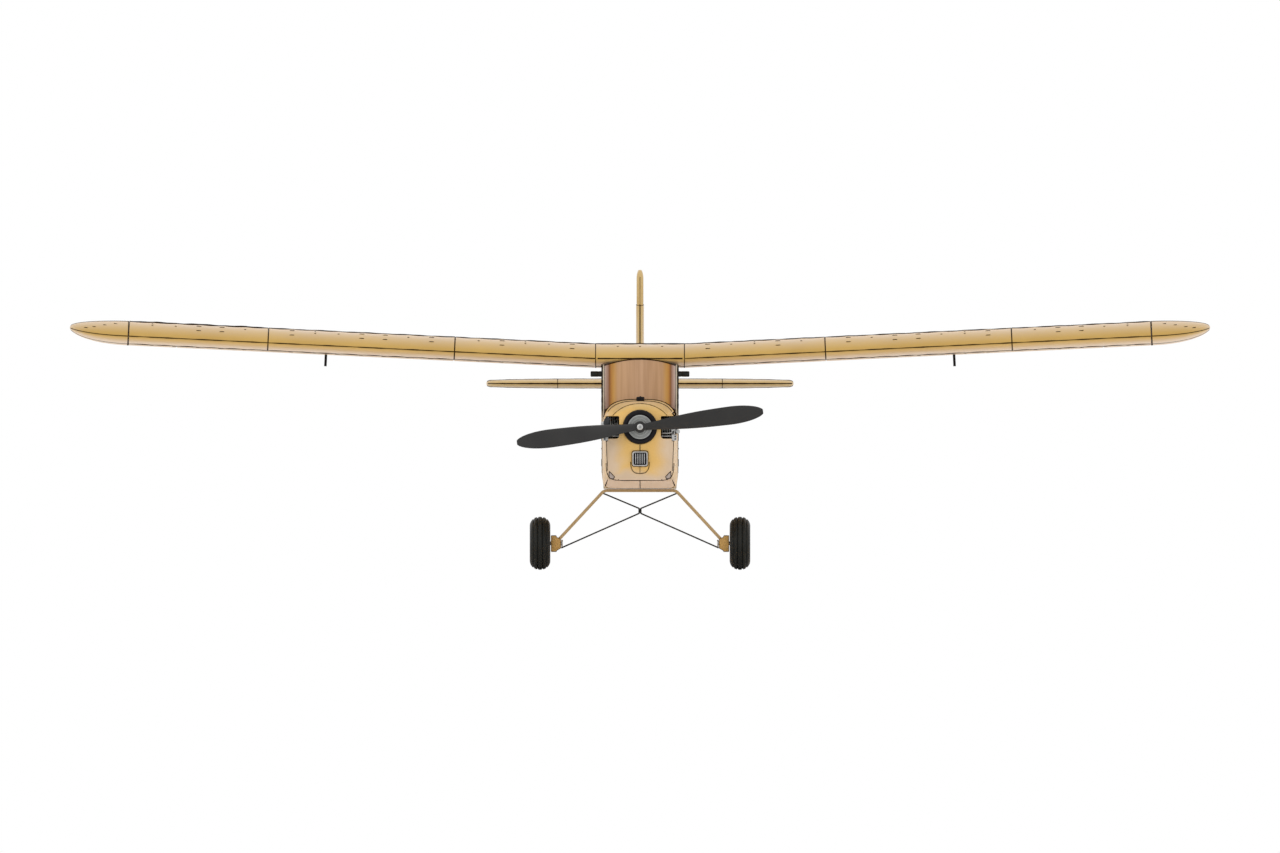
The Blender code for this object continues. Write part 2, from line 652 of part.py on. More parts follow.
def make_wing_panel(name, side, start, end, bays, rear, tools):
    """One outer panel between two seams. tools are cut away after the bays."""
    section = aerofoil()
    first = panel_ring(side, start, section)
    if start == 0.0:
        first = []
        for aft, up in section:
            span = (GAP / 2 + up * math.sin(DIHEDRAL)) / math.cos(DIHEDRAL)
            first.append(panel_point(side, span, aft, up))
        start = GAP
    made = add_part(name, mesh_from(name, [first, panel_ring(side, end, section)]), (TAN, 0.5, 0.0))
    pitch = (end - start - RIB) / bays
    for i in range(bays):
        low = start + RIB + i * pitch + (0.6 if i == 0 and start == GAP else 0.0)
        join(made, bay_cutter(f"{name}_bay_{i}", side, low, start + (i + 1) * pitch, rear))
    for tool in tools:
        join(made, tool)


def make_wing_tip(name, side):
    """The rounded tip: both edges curve in and the underside sweeps up."""
    start = span_of(SEAMS_X[2]) + GAP / 2
    length = (HALF_SPAN - SEAMS_X[2]) / math.cos(DIHEDRAL) - GAP / 2
    section = aerofoil()
    rings = []
    for t in (0.0, 0.25, 0.45, 0.62, 0.76, 0.87, 0.95, 0.998):
        slim = math.sqrt(1 - t * t)
        plan = (1 - t ** 2.3) ** (1 / 2.3)
        ring = []
        for aft, up in section:
            middle = 0.45 * CHORD
            height = 2.2 + (up - 2.2) * slim + 2.4 * t * t * t
            ring.append(panel_point(side, start + length * t, middle + (aft - middle) * plan, height))
        rings.append(ring)
    add_part(name, mesh_from(name, rings), (TAN, 0.5, 0.0))


def hinge_point(side, span):
    aft, up = on_chord(HINGE_CHORD, hinge_height())
    return panel_point(side, span, aft, up)


def aileron_spans():
    return span_of(SEAMS_X[0]) + 0.5, span_of(AILERON_END_X)


def make_aileron(name, side):
    start, end = aileron_spans()
    middle = hinge_point(side, (start + end) / 2)
    aft, up = on_chord(HINGE_CHORD, hinge_height())
    places = (1.0, 0.95, 0.9, 0.86, 0.83)
    upper = [surface(x, True) for x in places]
    lower = [surface(x, False) for x in reversed(places)]
    nose = []
    for i in range(7):
        turn = math.radians(90 + 30 * i) + INCIDENCE / 2
        nose.append((aft + AILERON_NOSE * math.cos(turn), up + AILERON_NOSE * math.sin(turn)))
    section = upper + nose + lower
    rings = [panel_ring(side, start, section), panel_ring(side, end, section)]
    made = add_part(name, mesh_from(name, rings, middle), (TAN, 0.5, 0.0), middle)
    bore = rod("bore", hinge_point(side, start - 6), hinge_point(side, end + 6), PIN_HOLE, 8)
    join(made, cutter(f"{name}_bore", bore))
    ends = hinge_point(side, start - 4.5), hinge_point(side, end + 4.5)
    add_part(f"{name}_hinge_pin", rod(f"{name}_hinge_pin", *ends, PIN_RADIUS, 8), (STEEL, 0.3, 1.0))


def make_aileron_horn(name, side):
    """A thin plate below the aileron with a hole for a link."""
    half, centre = 0.9, span_of(246.0)
    origin = hinge_point(side, (sum(aileron_spans())) / 2)
    aft, up = on_chord(HINGE_CHORD, hinge_height())
    down = up - camber_and_half(HINGE_CHORD)[1] * CHORD - GAP - 0.1
    outline = ((aft - 0.8, down), (aft + 8.5, down - 0.2), (aft + 2.6, down - 9.4), (aft - 0.8, down - 9.4))

    def end(i):
        return [panel_point(side, centre + (half if i else -half), a, b) for a, b in outline]

    add_part(name, prism(name, end, origin), (BLACK, 0.4, 0.2), origin)


def make_wing():
    spar_hole = cutter("spar_hole", mesh_from("spar_hole", spar_rings(GAP, SPAR_END + 1.5), smooth=False))
    make_spar()
    make_wing_centre(spar_hole)
    seams = [span_of(x) for x in SEAMS_X]
    for label, side in (("left", -1), ("right", 1)):
        start, end = aileron_spans()
        bore = rod("bore", hinge_point(side, start - 6), hinge_point(side, end + 6), PIN_HOLE, 8)
        bore = cutter(f"pin_hole_{label}", bore)
        aft = on_chord(HINGE_CHORD, hinge_height())[0] - AILERON_NOSE - 0.7
        corners = ((aft, -30.0), (aft + 60.0, -30.0), (aft + 60.0, 30.0), (aft, 30.0))
        spans = (start - 6.0, end + 0.6)
        notch = prism("notch", lambda i: [panel_point(side, spans[i], a, b) for a, b in corners])
        notch = cutter(f"aileron_notch_{label}", notch)
        half = GAP / 2
        make_wing_panel(f"wing_root_{label}", side, 0.0, seams[0] - half, 3, 0.9, (spar_hole, bore))
        make_wing_panel(f"wing_mid_{label}", side, seams[0] + half, seams[1] - half, 4, 0.74,
                        (spar_hole, notch))
        make_wing_panel(f"wing_outer_{label}", side, seams[1] + half, seams[2] - half, 3, 0.74,
                        (spar_hole, notch, bore))
        make_wing_tip(f"wing_tip_{label}", side)
        make_aileron(f"aileron_{label}", side)
        make_aileron_horn(f"aileron_horn_{label}", side)


# ---------------------------------------------------------------- tail

def tail_reach(x):
    """How much of the root chord is left at x, for the rounded tips."""
    return (1 - min(abs(x) / STAB_HALF_SPAN, 1.0) ** TIP_POWER) ** (1 / TIP_POWER)


def tail_half(x):
    """Half thickness of the tailplane at x."""
    return STAB_THICKNESS / 2 * (1 - 0.5 * (abs(x) / STAB_HALF_SPAN) ** 6)


def tail_stations():
    right = [30.0, 64.6, 88.0, 104.0, 113.0, 118.0, 120.3]
    return [-x for x in reversed(right)] + [0.0] + right


def make_stabiliser():
    rear = ELEVATOR_HINGE - ELEVATOR_NOSE - 0.6
    rings = []
    for x in tail_stations():
        lead = min(ELEVATOR_HINGE - STAB_ROOT * tail_reach(x), rear - 1.5)
        half = tail_half(x)
        length = rear - lead
        profile = ((rear, 0.92), (rear - 0.5 * length, 1.0), (lead + 0.15 * length, 0.85), (lead, 0.25))
        upper = [place(x, s, STAB_Z + half * h) for s, h in profile]
        lower = [place(x, s, STAB_Z - half * h) for s, h in reversed(profile)]
        rings.append(upper + lower)
    made = add_part("stabiliser", mesh_from("stabiliser", rings), (PALE, 0.5, 0.0))
    for i, (low, high) in enumerate(((-5.0, 5.0), (-66.6, -62.6), (62.6, 66.6))):
        lug = box_mesh("lug", (low, high), (rear - 4.0, ELEVATOR_HINGE + LUG_HALF),
                       (STAB_Z - LUG_HALF, STAB_Z + LUG_HALF))
        join(made, cutter(f"stabiliser_lug_{i}", lug), "UNION")
    join(made, elevator_bore("stabiliser_bore"))


def elevator_bore(name):
    reach = ELEVATOR_PIN_HALF + 2
    ends = place(-reach, ELEVATOR_HINGE, STAB_Z), place(reach, ELEVATOR_HINGE, STAB_Z)
    return cutter(name, rod(name, *ends, PIN_HOLE, 8))


def make_elevator():
    origin = place(0, ELEVATOR_HINGE, STAB_Z)
    rings = []
    for x in tail_stations():
        trail = max(ELEVATOR_HINGE + ELEVATOR_ROOT * tail_reach(x), ELEVATOR_HINGE + ELEVATOR_NOSE + 1.0)
        half = tail_half(x) / (STAB_THICKNESS / 2)
        nose = []
        for i in range(7):
            turn = math.radians(90 + 30 * i)
            nose.append(place(x, ELEVATOR_HINGE + ELEVATOR_NOSE * half * math.cos(turn),
                              STAB_Z + ELEVATOR_NOSE * half * math.sin(turn)))
        rear = [place(x, trail, STAB_Z - TAIL_EDGE_HALF), place(x, trail, STAB_Z + TAIL_EDGE_HALF)]
        rings.append(nose + rear)
    made = add_part("elevator", mesh_from("elevator", rings, origin), (PALE, 0.5, 0.0), origin)
    half = JOINER_HALF
    tall = (STAB_Z - 12.0, STAB_Z + 12.0)
    over_joiner = (JOINER_FRONT - 2.0, JOINER_REAR + 1.5)
    vee = ((-half, JOINER_REAR), (half, JOINER_REAR), (30.0, 555.0), (-30.0, 555.0))
    tools = [
        box_mesh("front", (-half, half), (490.0, JOINER_FRONT), tall),
        plan_prism("vee", vee, tall),
        box_mesh("above", (-half, half), over_joiner, (STAB_Z + JOINER_THICK, tall[1])),
        box_mesh("below", (-half, half), over_joiner, (tall[0], STAB_Z - JOINER_THICK)),
    ]
    for side in (-1, 1):
        tools.append(box_mesh("notch", sorted((side * 61.8, side * 67.4)), (495.0, 508.4), tall))
    for i, tool in enumerate(tools):
        join(made, cutter(f"elevator_cut_{i}", tool))
    join(made, elevator_bore("elevator_bore"))
    reach = ELEVATOR_PIN_HALF
    ends = place(-reach, ELEVATOR_HINGE, STAB_Z), place(reach, ELEVATOR_HINGE, STAB_Z)
    add_part("elevator_hinge_pin", rod("elevator_hinge_pin", *ends, PIN_RADIUS, 8), (STEEL, 0.3, 1.0))


def rudder_lug_heights():
    return (156.0, 160.0), (196.0, 200.0)


def rudder_bore(name):
    ends = place(0, RUDDER_HINGE, RUDDER_BOTTOM - 2), place(0, RUDDER_HINGE, FIN_TOP - 1.5)
    return cutter(name, rod(name, *ends, SHAFT_HOLE, 8))


def make_fin():
    rear = TAIL_END
    rings = []
    for t in (0.0, 0.15, 0.35, 0.6, 0.85, 1.0):
        z = FIN_BOTTOM + (FIN_TOP - FIN_BOTTOM) * t
        lead = 452.0 + 50.0 * t ** 0.75
        length = rear - lead
        profile = ((rear, 0.95), (rear - 0.5 * length, 1.0), (lead + 0.12 * length, 0.85), (lead, 0.25))
        half = FIN_THICKNESS / 2
        right = [place(half * h, s, z) for s, h in profile]
        left = [place(-half * h, s, z) for s, h in reversed(profile)]
        rings.append(right + left)
    made = add_part("fin", mesh_from("fin", rings), (PALE, 0.5, 0.0))
    joiner_room = box_mesh("room", (-6.0, 6.0), (501.0, 513.5), (FIN_BOTTOM - 2, 151.4))
    join(made, cutter("joiner_room", joiner_room))
    post = box_mesh("post", (-2.6, 2.6), (514.5, rear), (belly(514.5) + 1.0, 155.0))
    join(made, cutter("stern_post", post), "UNION")
    for i, (low, high) in enumerate(rudder_lug_heights()):
        lug = box_mesh("lug", (-LUG_HALF, LUG_HALF), (rear - 4.0, RUDDER_HINGE + LUG_HALF), (low, high))
        join(made, cutter(f"fin_lug_{i}", lug), "UNION")
    join(made, rudder_bore("fin_bore"))


def rudder_edges(z):
    """Front and rear station of the rudder at a height."""
    reach = min(abs(z - RUDDER_WIDEST_Z) / 62.0, 1.0)
    rear = RUDDER_HINGE + RUDDER_DEPTH * (1 - reach ** 2.6) ** (1 / 2.6)
    if z <= FIN_TOP + 0.4:
        return RUDDER_HINGE - RUDDER_NOSE, rear
    rise = min((z - FIN_TOP) / 28.6, 1.0)
    return RUDDER_HINGE - 16.0 * math.sqrt(1 - rise * rise), rear


def make_rudder():
    origin = place(0, RUDDER_HINGE, THRUST_Z)
    rings = []
    for z in (RUDDER_BOTTOM, 128.0, 136.0, 150.0, RUDDER_WIDEST_Z, 200.0, 207.4, 207.6, 214.0, 221.0, 227.0,
              231.5, 234.0, RUDDER_TOP):
        lead, trail = rudder_edges(z)
        slim = RUDDER_NOSE * (1.0 if z < 234.5 else 0.6)
        front = RUDDER_HINGE if lead > RUDDER_HINGE - 3 else lead + RUDDER_NOSE
        right = [place(slim * math.cos(math.radians(a)), front - RUDDER_NOSE * math.sin(math.radians(a)), z)
                 for a in (0, 30, 60, 90)]
        left = [place(-slim * math.cos(math.radians(a)), front - RUDDER_NOSE * math.sin(math.radians(a)), z)
                for a in (60, 30, 0)]
        rings.append([place(TAIL_EDGE_HALF, trail, z)] + right + left + [place(-TAIL_EDGE_HALF, trail, z)])
    made = add_part("rudder", mesh_from("rudder", rings, origin), (PALE, 0.5, 0.0), origin)
    for i, (low, high) in enumerate(rudder_lug_heights()):
        notch = box_mesh("notch", (-8.0, 8.0), (510.0, 527.4), (low - LUG_CLEARANCE, high + LUG_CLEARANCE))
        join(made, cutter(f"rudder_notch_{i}", notch))
    join(made, rudder_bore("rudder_bore"))


def make_tail_wheel():
    """The wheel and its wire, whose upper end is the rudder's hinge pin."""
    origin = place(0, RUDDER_HINGE, THRUST_Z)
    s, z, x = TAIL_AXLE_STATION, TAIL_AXLE_Z, -4.3
    path = [(0, RUDDER_HINGE, 204.0), (0, RUDDER_HINGE, 121.0), (-1.2, RUDDER_HINGE + 0.4, 118.6),
            (-3.6, RUDDER_HINGE + 1.4, 116.4), (x, RUDDER_HINGE + 2.4, 114.0), (x, s - 0.8, z + 1.6),
            (x + 0.5, s, z), (x + 1.6, s, z), (4.3, s, z)]
    wire("tail_wheel_wire", [place(*p) for p in path], SHAFT_RADIUS, (STEEL, 0.3, 1.0), origin)
    r, half = TAIL_WHEEL_RADIUS, TAIL_WHEEL_WIDTH / 2
    profile = [(r - 2, half), (r - 0.5, half - 0.8), (r, 0.0), (r - 0.5, 0.8 - half), (r - 2, -half),
               (SHAFT_HOLE, -half), (SHAFT_HOLE, half)]
    turned("tail_wheel", profile, (BLACK, 0.7, 0.0), place(0, s, z), (1, 0, 0), 24)


# ---------------------------------------------------------------- landing gear

def strap_outline():
    """The strap's front outline: its centre line, bent at both shoulders, grown by half its thickness."""
    bend, foot = (STRAP_BEND_X, STRAP_Z), STRAP_FOOT
    slope = math.atan2(foot[1] - bend[1], foot[0] - bend[0])
    radius = STRAP_BEND_RADIUS
    length = radius * math.tan(-slope / 2)
    start = (bend[0] - length, bend[1] - radius)
    centre = [foot]
    for i in range(5):
        turn = math.pi / 2 + slope * (1 - i / 4)
        centre.append((start[0] + radius * math.cos(turn), start[1] + radius * math.sin(turn)))
    centre += [(-x, z) for x, z in reversed(centre)]
    outline = []
    half = STRAP_THICKNESS / 2
    for sign in (1, -1):
        run = centre if sign > 0 else list(reversed(centre))
        for i, (x, z) in enumerate(run):
            before, after = run[max(i - 1, 0)], run[min(i + 1, len(run) - 1)]
            dx, dz = after[0] - before[0], after[1] - before[1]
            size = math.hypot(dx, dz)
            outline.append((x + half * dz / size, z - half * dx / size))
    return outline


def make_landing_gear():
    span = (AXLE_STATION - STRAP_WIDTH / 2, AXLE_STATION + STRAP_WIDTH / 2)
    add_part("gear_strap", front_prism("gear_strap", strap_outline(), span), (TAN, 0.4, 0.2))
    block = ((69.7, 26.9), (65.9, 26.9), (65.2, 25.5), (62.9, 24.6), (62.1, 23.2), (62.1, 17.0),
             (65.0, 15.3), (65.8, 14.2), (69.7, 14.2))
    for name, side in (("left", -1), ("right", 1)):
        outline = [(side * x, z) for x, z in block]
        made = add_part(f"axle_block_{name}", front_prism("block", outline, (89.0, 106.0)), (TAN, 0.5, 0.0))
        ends = place(side * 55, AXLE_STATION, WHEEL_RADIUS), place(side * 75, AXLE_STATION, WHEEL_RADIUS)
        join(made, cutter(f"axle_hole_{name}", rod("hole", *ends, AXLE_HOLE, 16)))
        axle = [(0.0, 85.6), (2.6, 85.6), (3.0, 85.2), (3.0, 83.6), (AXLE_RADIUS, 83.6),
                (AXLE_RADIUS, 61.7), (2.8, 61.7),
                (2.8, 60.5), (0.0, 60.5)]
        centre = place(0, AXLE_STATION, WHEEL_RADIUS)
        turned(f"axle_{name}", axle, (STEEL, 0.3, 1.0), centre, (side, 0, 0), 16)


def make_cross_wires():
    """Two bent wires that cross under the fuselage, joined by the clamp where they meet."""
    clamp = box_mesh("clamp", (-1.1, 1.1), (WIRE_STATION - 0.9, WIRE_STATION + 0.9), (43.8, 48.6))
    made = add_part("cross_wires", clamp, ((0.25, 0.26, 0.22), 0.4, 1.0))
    for name, side in (("left", -1), ("right", 1)):
        for label, run in (("upper", ((29.4, 60.2), (0.0, 47.9))), ("lower", ((61.5, 17.3), (0.0, 44.5)))):
            points = [place(side * x, WIRE_STATION, z) for x, z in run]
            tube = rod("wire", *points, WIRE_RADIUS, 6)
            join(made, cutter(f"wire_{label}_{name}", tube), "UNION")


def make_wheel(name, side):
    origin = place(side * WHEEL_X, AXLE_STATION, WHEEL_RADIUS)
    half, r = TYRE_WIDTH / 2, WHEEL_RADIUS
    tyre = [(r - 8.3, half - 2.4), (r - 5.5, half - 0.1), (r - 3.6, half), (r - 1.2, half - 1.9),
            (r, half - 5.0)]
    tyre += [(radius, -x) for radius, x in reversed(tyre)]
    turned(f"tyre_{name}", tyre, (BLACK, 0.75, 0.0), origin, (side, 0, 0), 32)
    rim = r - 8.6
    hub = [(rim, half - 2.2), (rim, 2.2 - half), (rim - 1.6, 2.2 - half), (rim - 2.0, -1.4), (4.0, -1.4),
           (3.6, -4.6), (AXLE_HOLE, -4.6), (AXLE_HOLE, 4.6), (3.6, 4.6), (4.0, 1.4), (rim - 2.0, 1.4),
           (rim - 1.6, half - 2.2)]
    turned(f"wheel_hub_{name}", hub, ((0.6, 0.6, 0.6), 0.4, 0.2), origin, (side, 0, 0), 20)


# ---------------------------------------------------------------- propeller

def blade_chord(t):
    """Blade width seen from the front, at a part of the radius."""
    swell = 5.6 + 9.1 * (1 - math.exp(-(t / 0.38) ** 2.2))
    return swell * (1 - max(t - 0.72, 0.0) ** 2 / 0.0815) ** 0.5


def blade_rings(turn):
    rings = []
    for t in (0.024, 0.09, 0.17, 0.26, 0.36, 0.48, 0.62, 0.76, 0.87, 0.94, 0.98, 0.998):
        radius = t * PROP_RADIUS
        angle = min(math.atan(PITCH / (2 * math.pi * radius)), math.radians(48))
        chord = blade_chord(t) / math.cos(angle)
        thick = 2.6 - 1.7 * t
        section = ((-0.5, 0.0), (-0.3, 0.75), (0.0, 1.0), (0.3, 0.6), (0.5, 0.0), (0.2, -0.15),
                   (-0.2, -0.15))
        ring = []
        for along, over in section:
            a, b = along * chord, over * thick
            z = a * math.cos(angle) - b * math.sin(angle)
            s = a * math.sin(angle) + b * math.cos(angle)
            spun = Matrix.Rotation(turn, 4, "Y") @ Vector((radius, 0, z))
            ring.append(place(spun.x, -s, THRUST_Z + spun.z))
        rings.append(ring)
    return rings


def make_propeller():
    origin = place(0, 0, THRUST_Z)
    front, rear = place(0, -HUB_HALF, THRUST_Z), place(0, HUB_HALF, THRUST_Z)
    data = rod("propeller", front, rear, HUB_RADIUS, 20)
    data.transform(Matrix.Translation(-origin))
    made = add_part("propeller", data, (BLACK, 0.4, 0.0), origin)
    for name, turn in (("right", -PROP_TILT), ("left", math.pi - PROP_TILT)):
        join(made, cutter(f"blade_{name}", mesh_from("blade", blade_rings(turn))), "UNION")
    hole = rod("hole", place(0, -20, THRUST_Z), place(0, 20, THRUST_Z), SHAFT_HOLE, 12)
    join(made, cutter("shaft_hole", hole))
    forward = (0, -1, 0)
    nut = [(1.9, 6.0), (2.45, 5.5), (2.45, 3.5), (SHAFT_HOLE, 3.5), (SHAFT_HOLE, 6.0)]
    turned("propeller_nut", nut, (STEEL, 0.25, 1.0), origin, forward, 12)
    path = [(0, -5.7, THRUST_Z), (0, 33.5, THRUST_Z)]
    for i in range(10):
        turn = math.radians(-150 + 30 * i)
        aft, down = HOOK_RADIUS * math.cos(turn), HOOK_RADIUS * math.sin(turn)
        path.append((0, HOOK_STATION + aft, THRUST_Z - down))
    wire("propeller_shaft", [place(*p) for p in path], SHAFT_RADIUS, (STEEL, 0.3, 1.0), origin)


def main():
    clear_scene()
    collection(MODEL)
    collection("cutters")
    make_cowl()
    make_nose()
    make_fuel_cap()
    make_intake_grille()
    make_firewall()
    make_belly_panel()
    make_turtle_deck()
    make_former("cabin_former", 223.0, 19.0, 84.0, 142.0)
    make_former("tail_former", 339.0, 12.0, 104.0, 138.0)
    make_windshield()
    make_dowels()
    make_rubber_motor()
    make_wing()
    make_stabiliser()
    make_elevator()
    make_fin()
    make_rudder()
    make_tail_wheel()
    make_landing_gear()
    make_cross_wires()
    make_propeller()
    for label, side in (("left", -1), ("right", 1)):
        make_cylinder(f"engine_cylinder_{label}", side)
        make_pushrods(f"pushrod_tubes_{label}", side)
        make_side(f"fuselage_side_{label}", side)
        make_side_window(f"side_window_{label}", side)
        make_wheel(label, side)


main()
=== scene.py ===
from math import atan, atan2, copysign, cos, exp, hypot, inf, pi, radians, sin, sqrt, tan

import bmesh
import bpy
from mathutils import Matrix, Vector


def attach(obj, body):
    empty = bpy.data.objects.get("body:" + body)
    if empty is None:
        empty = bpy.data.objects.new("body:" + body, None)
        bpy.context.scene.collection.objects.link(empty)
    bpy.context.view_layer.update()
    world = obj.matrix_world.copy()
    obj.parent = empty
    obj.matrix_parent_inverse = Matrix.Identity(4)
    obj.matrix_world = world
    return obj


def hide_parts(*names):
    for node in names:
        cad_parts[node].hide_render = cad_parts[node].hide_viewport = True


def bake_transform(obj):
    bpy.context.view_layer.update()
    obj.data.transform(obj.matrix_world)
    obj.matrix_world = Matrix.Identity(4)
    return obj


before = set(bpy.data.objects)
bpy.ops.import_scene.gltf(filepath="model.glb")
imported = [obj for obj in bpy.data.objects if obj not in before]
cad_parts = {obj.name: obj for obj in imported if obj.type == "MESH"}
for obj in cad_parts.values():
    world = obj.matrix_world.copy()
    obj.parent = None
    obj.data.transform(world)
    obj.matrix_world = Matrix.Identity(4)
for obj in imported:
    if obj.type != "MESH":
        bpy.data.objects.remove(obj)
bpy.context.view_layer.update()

# The looks of a high-wing cabin monoplane model driven by a rubber motor.
# Lengths are in millimetres until place() turns a point (x, station, z) into the frame, in metres. x runs
# to the right of a viewer who faces the nose, the station runs aft from the propeller, z runs up from the
# ground. A turned profile holds (radius, height along the axis). An outline holds two of x, station and z.

MM = 0.001
MIDDLE_STATION = 281.5
GAP = 0.3
THRUST_Z = 112.0
SIDES = (("left", -1), ("right", 1))
ACROSS, FORWARD, UP = (1, 0, 0), (0, -1, 0), (0, 0, 1)
CUT, JOIN = "DIFFERENCE", "UNION"

HALF_SPAN, CHORD = 447.5, 133.4
CAMBER, CAMBER_PLACE, THICKNESS, EDGE_THICKNESS = 0.04, 0.4, 0.125, 0.8
INCIDENCE, DIHEDRAL = radians(2.95), radians(2.75)
WING_STATION, WING_Z, BREAK_X = 88.0, 165.7, 34.9
SEAMS_X, AILERON_END_X, HORN_X = (145.5, 291.8, 401.2), 363.0, 246.0
HINGE_CHORD, AILERON_NOSE = 0.80, 3.6
RIB_PITCH, TAIL_RIB_PITCH = 18.8, 21.5

HALF_WIDTH, SIDE_THICKNESS = 29.8, 1.6
CABIN_START, CABIN_END, DECK_END, TAIL_END = 65.6, 221.0, 448.0, 519.6
BELLY_Z, CABIN_TOP, DECK_TOP_Z, DECK_SEAT_Z, STAB_SEAT_Z = 63.6, 160.8, 158.4, 150.0, 142.3
DECK_BREAK, DECK_SEAT_END = 275.0, 450.0
BELLY_BREAK, BELLY_LENGTH, BELLY_RISE, BELLY_POWER = 140.0, 383.0, 69.4, 1.25
NARROWING, NARROWING_LENGTH, NARROWING_POWER = 25.3, 302.0, 1.1
SCREEN_FOOT_Z, SCREEN_LEAN, TUCK, TUCK_HEIGHT = 126.0, 0.6657, 1.3, 12.4
WINDOWS, WINDOW_LOW, WINDOW_HIGH, WINDOW_CORNER = ((106.0, 152.0), (158.0, 206.0)), 114.0, 147.0, 5.0

COWL_FRONT, COWL_FACE, COWL_CHIN, COWL_REAR, COWL_WIDEST_Z = 9.0, 14.5, 34.0, 62.0, 105.0
RING_RADIUS = 13.3
BAY_X, BAY_LOW, BAY_HIGH, BAY_CORNER, BAY_OUTSIDE = 16.3, 102.8, 120.6, 2.6, 34.0
CAP_X, CAP_STATION = 0.3, 55.0

STAB_Z, STAB_THICKNESS, STAB_HALF_SPAN, STAB_POWER = 146.1, 7.0, 120.8, 2.4
ELEVATOR_HINGE, STAB_ROOT, ELEVATOR_ROOT, ELEVATOR_NOSE = 504.0, 47.0, 42.0, 3.2
STAB_REAR, ELEVATOR_LUG_X = ELEVATOR_HINGE - ELEVATOR_NOSE - 0.6, 64.6
RUDDER_HINGE, RUDDER_NOSE, RUDDER_BOTTOM, RUDDER_TOP = 523.0, 2.7, 124.0, 235.2
RUDDER_MIDDLE_Z, RUDDER_HALF_HEIGHT, RUDDER_LENGTH, RUDDER_POWER = 175.0, 62.0, 46.0, 2.6
RUDDER_OVERHANG, RUDDER_CAP_HEIGHT, RUDDER_LUGS = 16.0, 28.6, ((156.0, 160.0), (196.0, 200.0))
FIN_THICKNESS, FIN_TOP, FIN_BOTTOM = 6.1, 207.0, 149.9
FIN_ROOT_STATION, FIN_SWEEP, FIN_SWEEP_POWER = 452.0, 50.0, 0.75

AXLE_STATION, WHEEL_RADIUS, WHEEL_X, TYRE_WIDTH = 95.0, 20.8, 78.4, 16.2
STRAP_Z, STRAP_BEND_X, STRAP_THICKNESS, STRAP_WIDTH, STRAP_BEND_RADIUS = 62.3, 28.2, 2.0, 10.0, 6.0
STRAP_FOOT, FOOT_DEPTH = (62.7, 25.0), 1.6
WIRE_STATION, WIRE_RADIUS = 103.0, 0.6
TAIL_AXLE_STATION, TAIL_AXLE_Z, TAIL_WHEEL_WIDTH = 529.0, 108.6, 5.0

PROP_RADIUS, PROP_TILT, PITCH, SHAFT_BORE = 97.5, radians(7.25), 195.0, 1.1
PEG_STATION, PEG_Z, HOOK_STATION = 432.0, 128.0, 46.2
DOWEL_Z, FRONT_DOWEL, REAR_DOWEL = 153.6, 96.0, 214.0


def place(x, station, z):
    return Vector((x, station - MIDDLE_STATION, z)) * MM


def smooth(value):
    value = min(max(value, 0.0), 1.0)
    return value * value * (3 - 2 * value)


def wander(value, seed=0.0):
    """A repeatable wavy number from -1 to 1."""
    return 0.6 * sin(value * 1.7 + seed * 5.1) + 0.4 * sin(value * 4.3 + seed * 2.3)


def steps(start, end, count):
    """Evenly spaced numbers from start to end, one more than count."""
    return [start + (end - start) * i / count for i in range(count + 1)]


def circle(count):
    """Angles evenly spaced round a whole turn."""
    return [2 * pi * i / count for i in range(count)]


def bulged(value, power):
    """A cosine or sine bent to a power, with its sign kept."""
    return copysign(abs(value) ** power, value)


def mirrored(half):
    """A whole profile from its half above the middle."""
    return half + [(radius, -height) for radius, height in reversed(half) if height]


def add_object(name, data):
    made = bpy.data.objects.new(name, data)
    bpy.context.scene.collection.objects.link(made)
    return made


# ---------------------------------------------------------------- camera and surroundings

def make_camera():
    data = bpy.data.cameras.new("camera")
    data.type = "ORTHO"
    data.ortho_scale = 1.00403
    data.clip_end = 20.0
    camera = add_object("camera", data)
    camera.location = (0.0, -3.0, 0.1124)
    camera.rotation_euler = (pi / 2, 0.0, 0.0)
    bpy.context.scene.camera = camera


def make_light(name, location, target, size, power, colour=(1.0, 1.0, 1.0)):
    data = bpy.data.lights.new(name, "AREA")
    data.shape = "DISK"
    data.size = size
    data.energy = power
    data.color = colour
    light = add_object(name, data)
    light.location = location
    light.rotation_euler = (Vector(target) - Vector(location)).to_track_quat("-Z", "Y").to_euler()


def make_surroundings():
    world = bpy.data.worlds.new("studio")
    world.use_nodes = True
    background = world.node_tree.nodes["Background"]
    background.inputs["Color"].default_value = (1.0, 1.0, 1.0, 1.0)
    background.inputs["Strength"].default_value = 1.0
    bpy.context.scene.world = world
    bpy.context.scene.view_settings.view_transform = "Standard"
    data = bpy.data.meshes.new("floor")
    floor_radius, corners = 5.0, 64
    ring = [(floor_radius * cos(a), floor_radius * sin(a), 0.0) for a in circle(corners)]
    data.from_pydata(ring, [], [tuple(range(corners))])
    paper = finish("floor_paper", (0.91, 0.91, 0.90), (0.88, 0.88, 0.87), (0.7, 0.8), bump=0.02)
    data.materials.append(paper)
    add_object("floor", data)
    make_light("key", (-1.3, -2.6, 0.9), (0, 0, 0.13), 1.8, 4.5, (1.0, 0.97, 0.93))
    make_light("fill", (1.6, -2.6, 0.35), (0, 0, 0.12), 1.8, 5.0)
    make_light("top", (0.0, 0.3, 2.4), (0, 0, 0.1), 2.2, 1.5)


# ---------------------------------------------------------------- materials

def add_node(tree, kind, values=None, **settings):
    made = tree.nodes.new("ShaderNode" + kind)
    for key, value in settings.items():
        setattr(made, key, value)
    for key, value in (values or {}).items():
        if isinstance(value, bpy.types.NodeSocket):
            tree.links.new(value, made.inputs[key])
        else:
            made.inputs[key].default_value = value
    return made


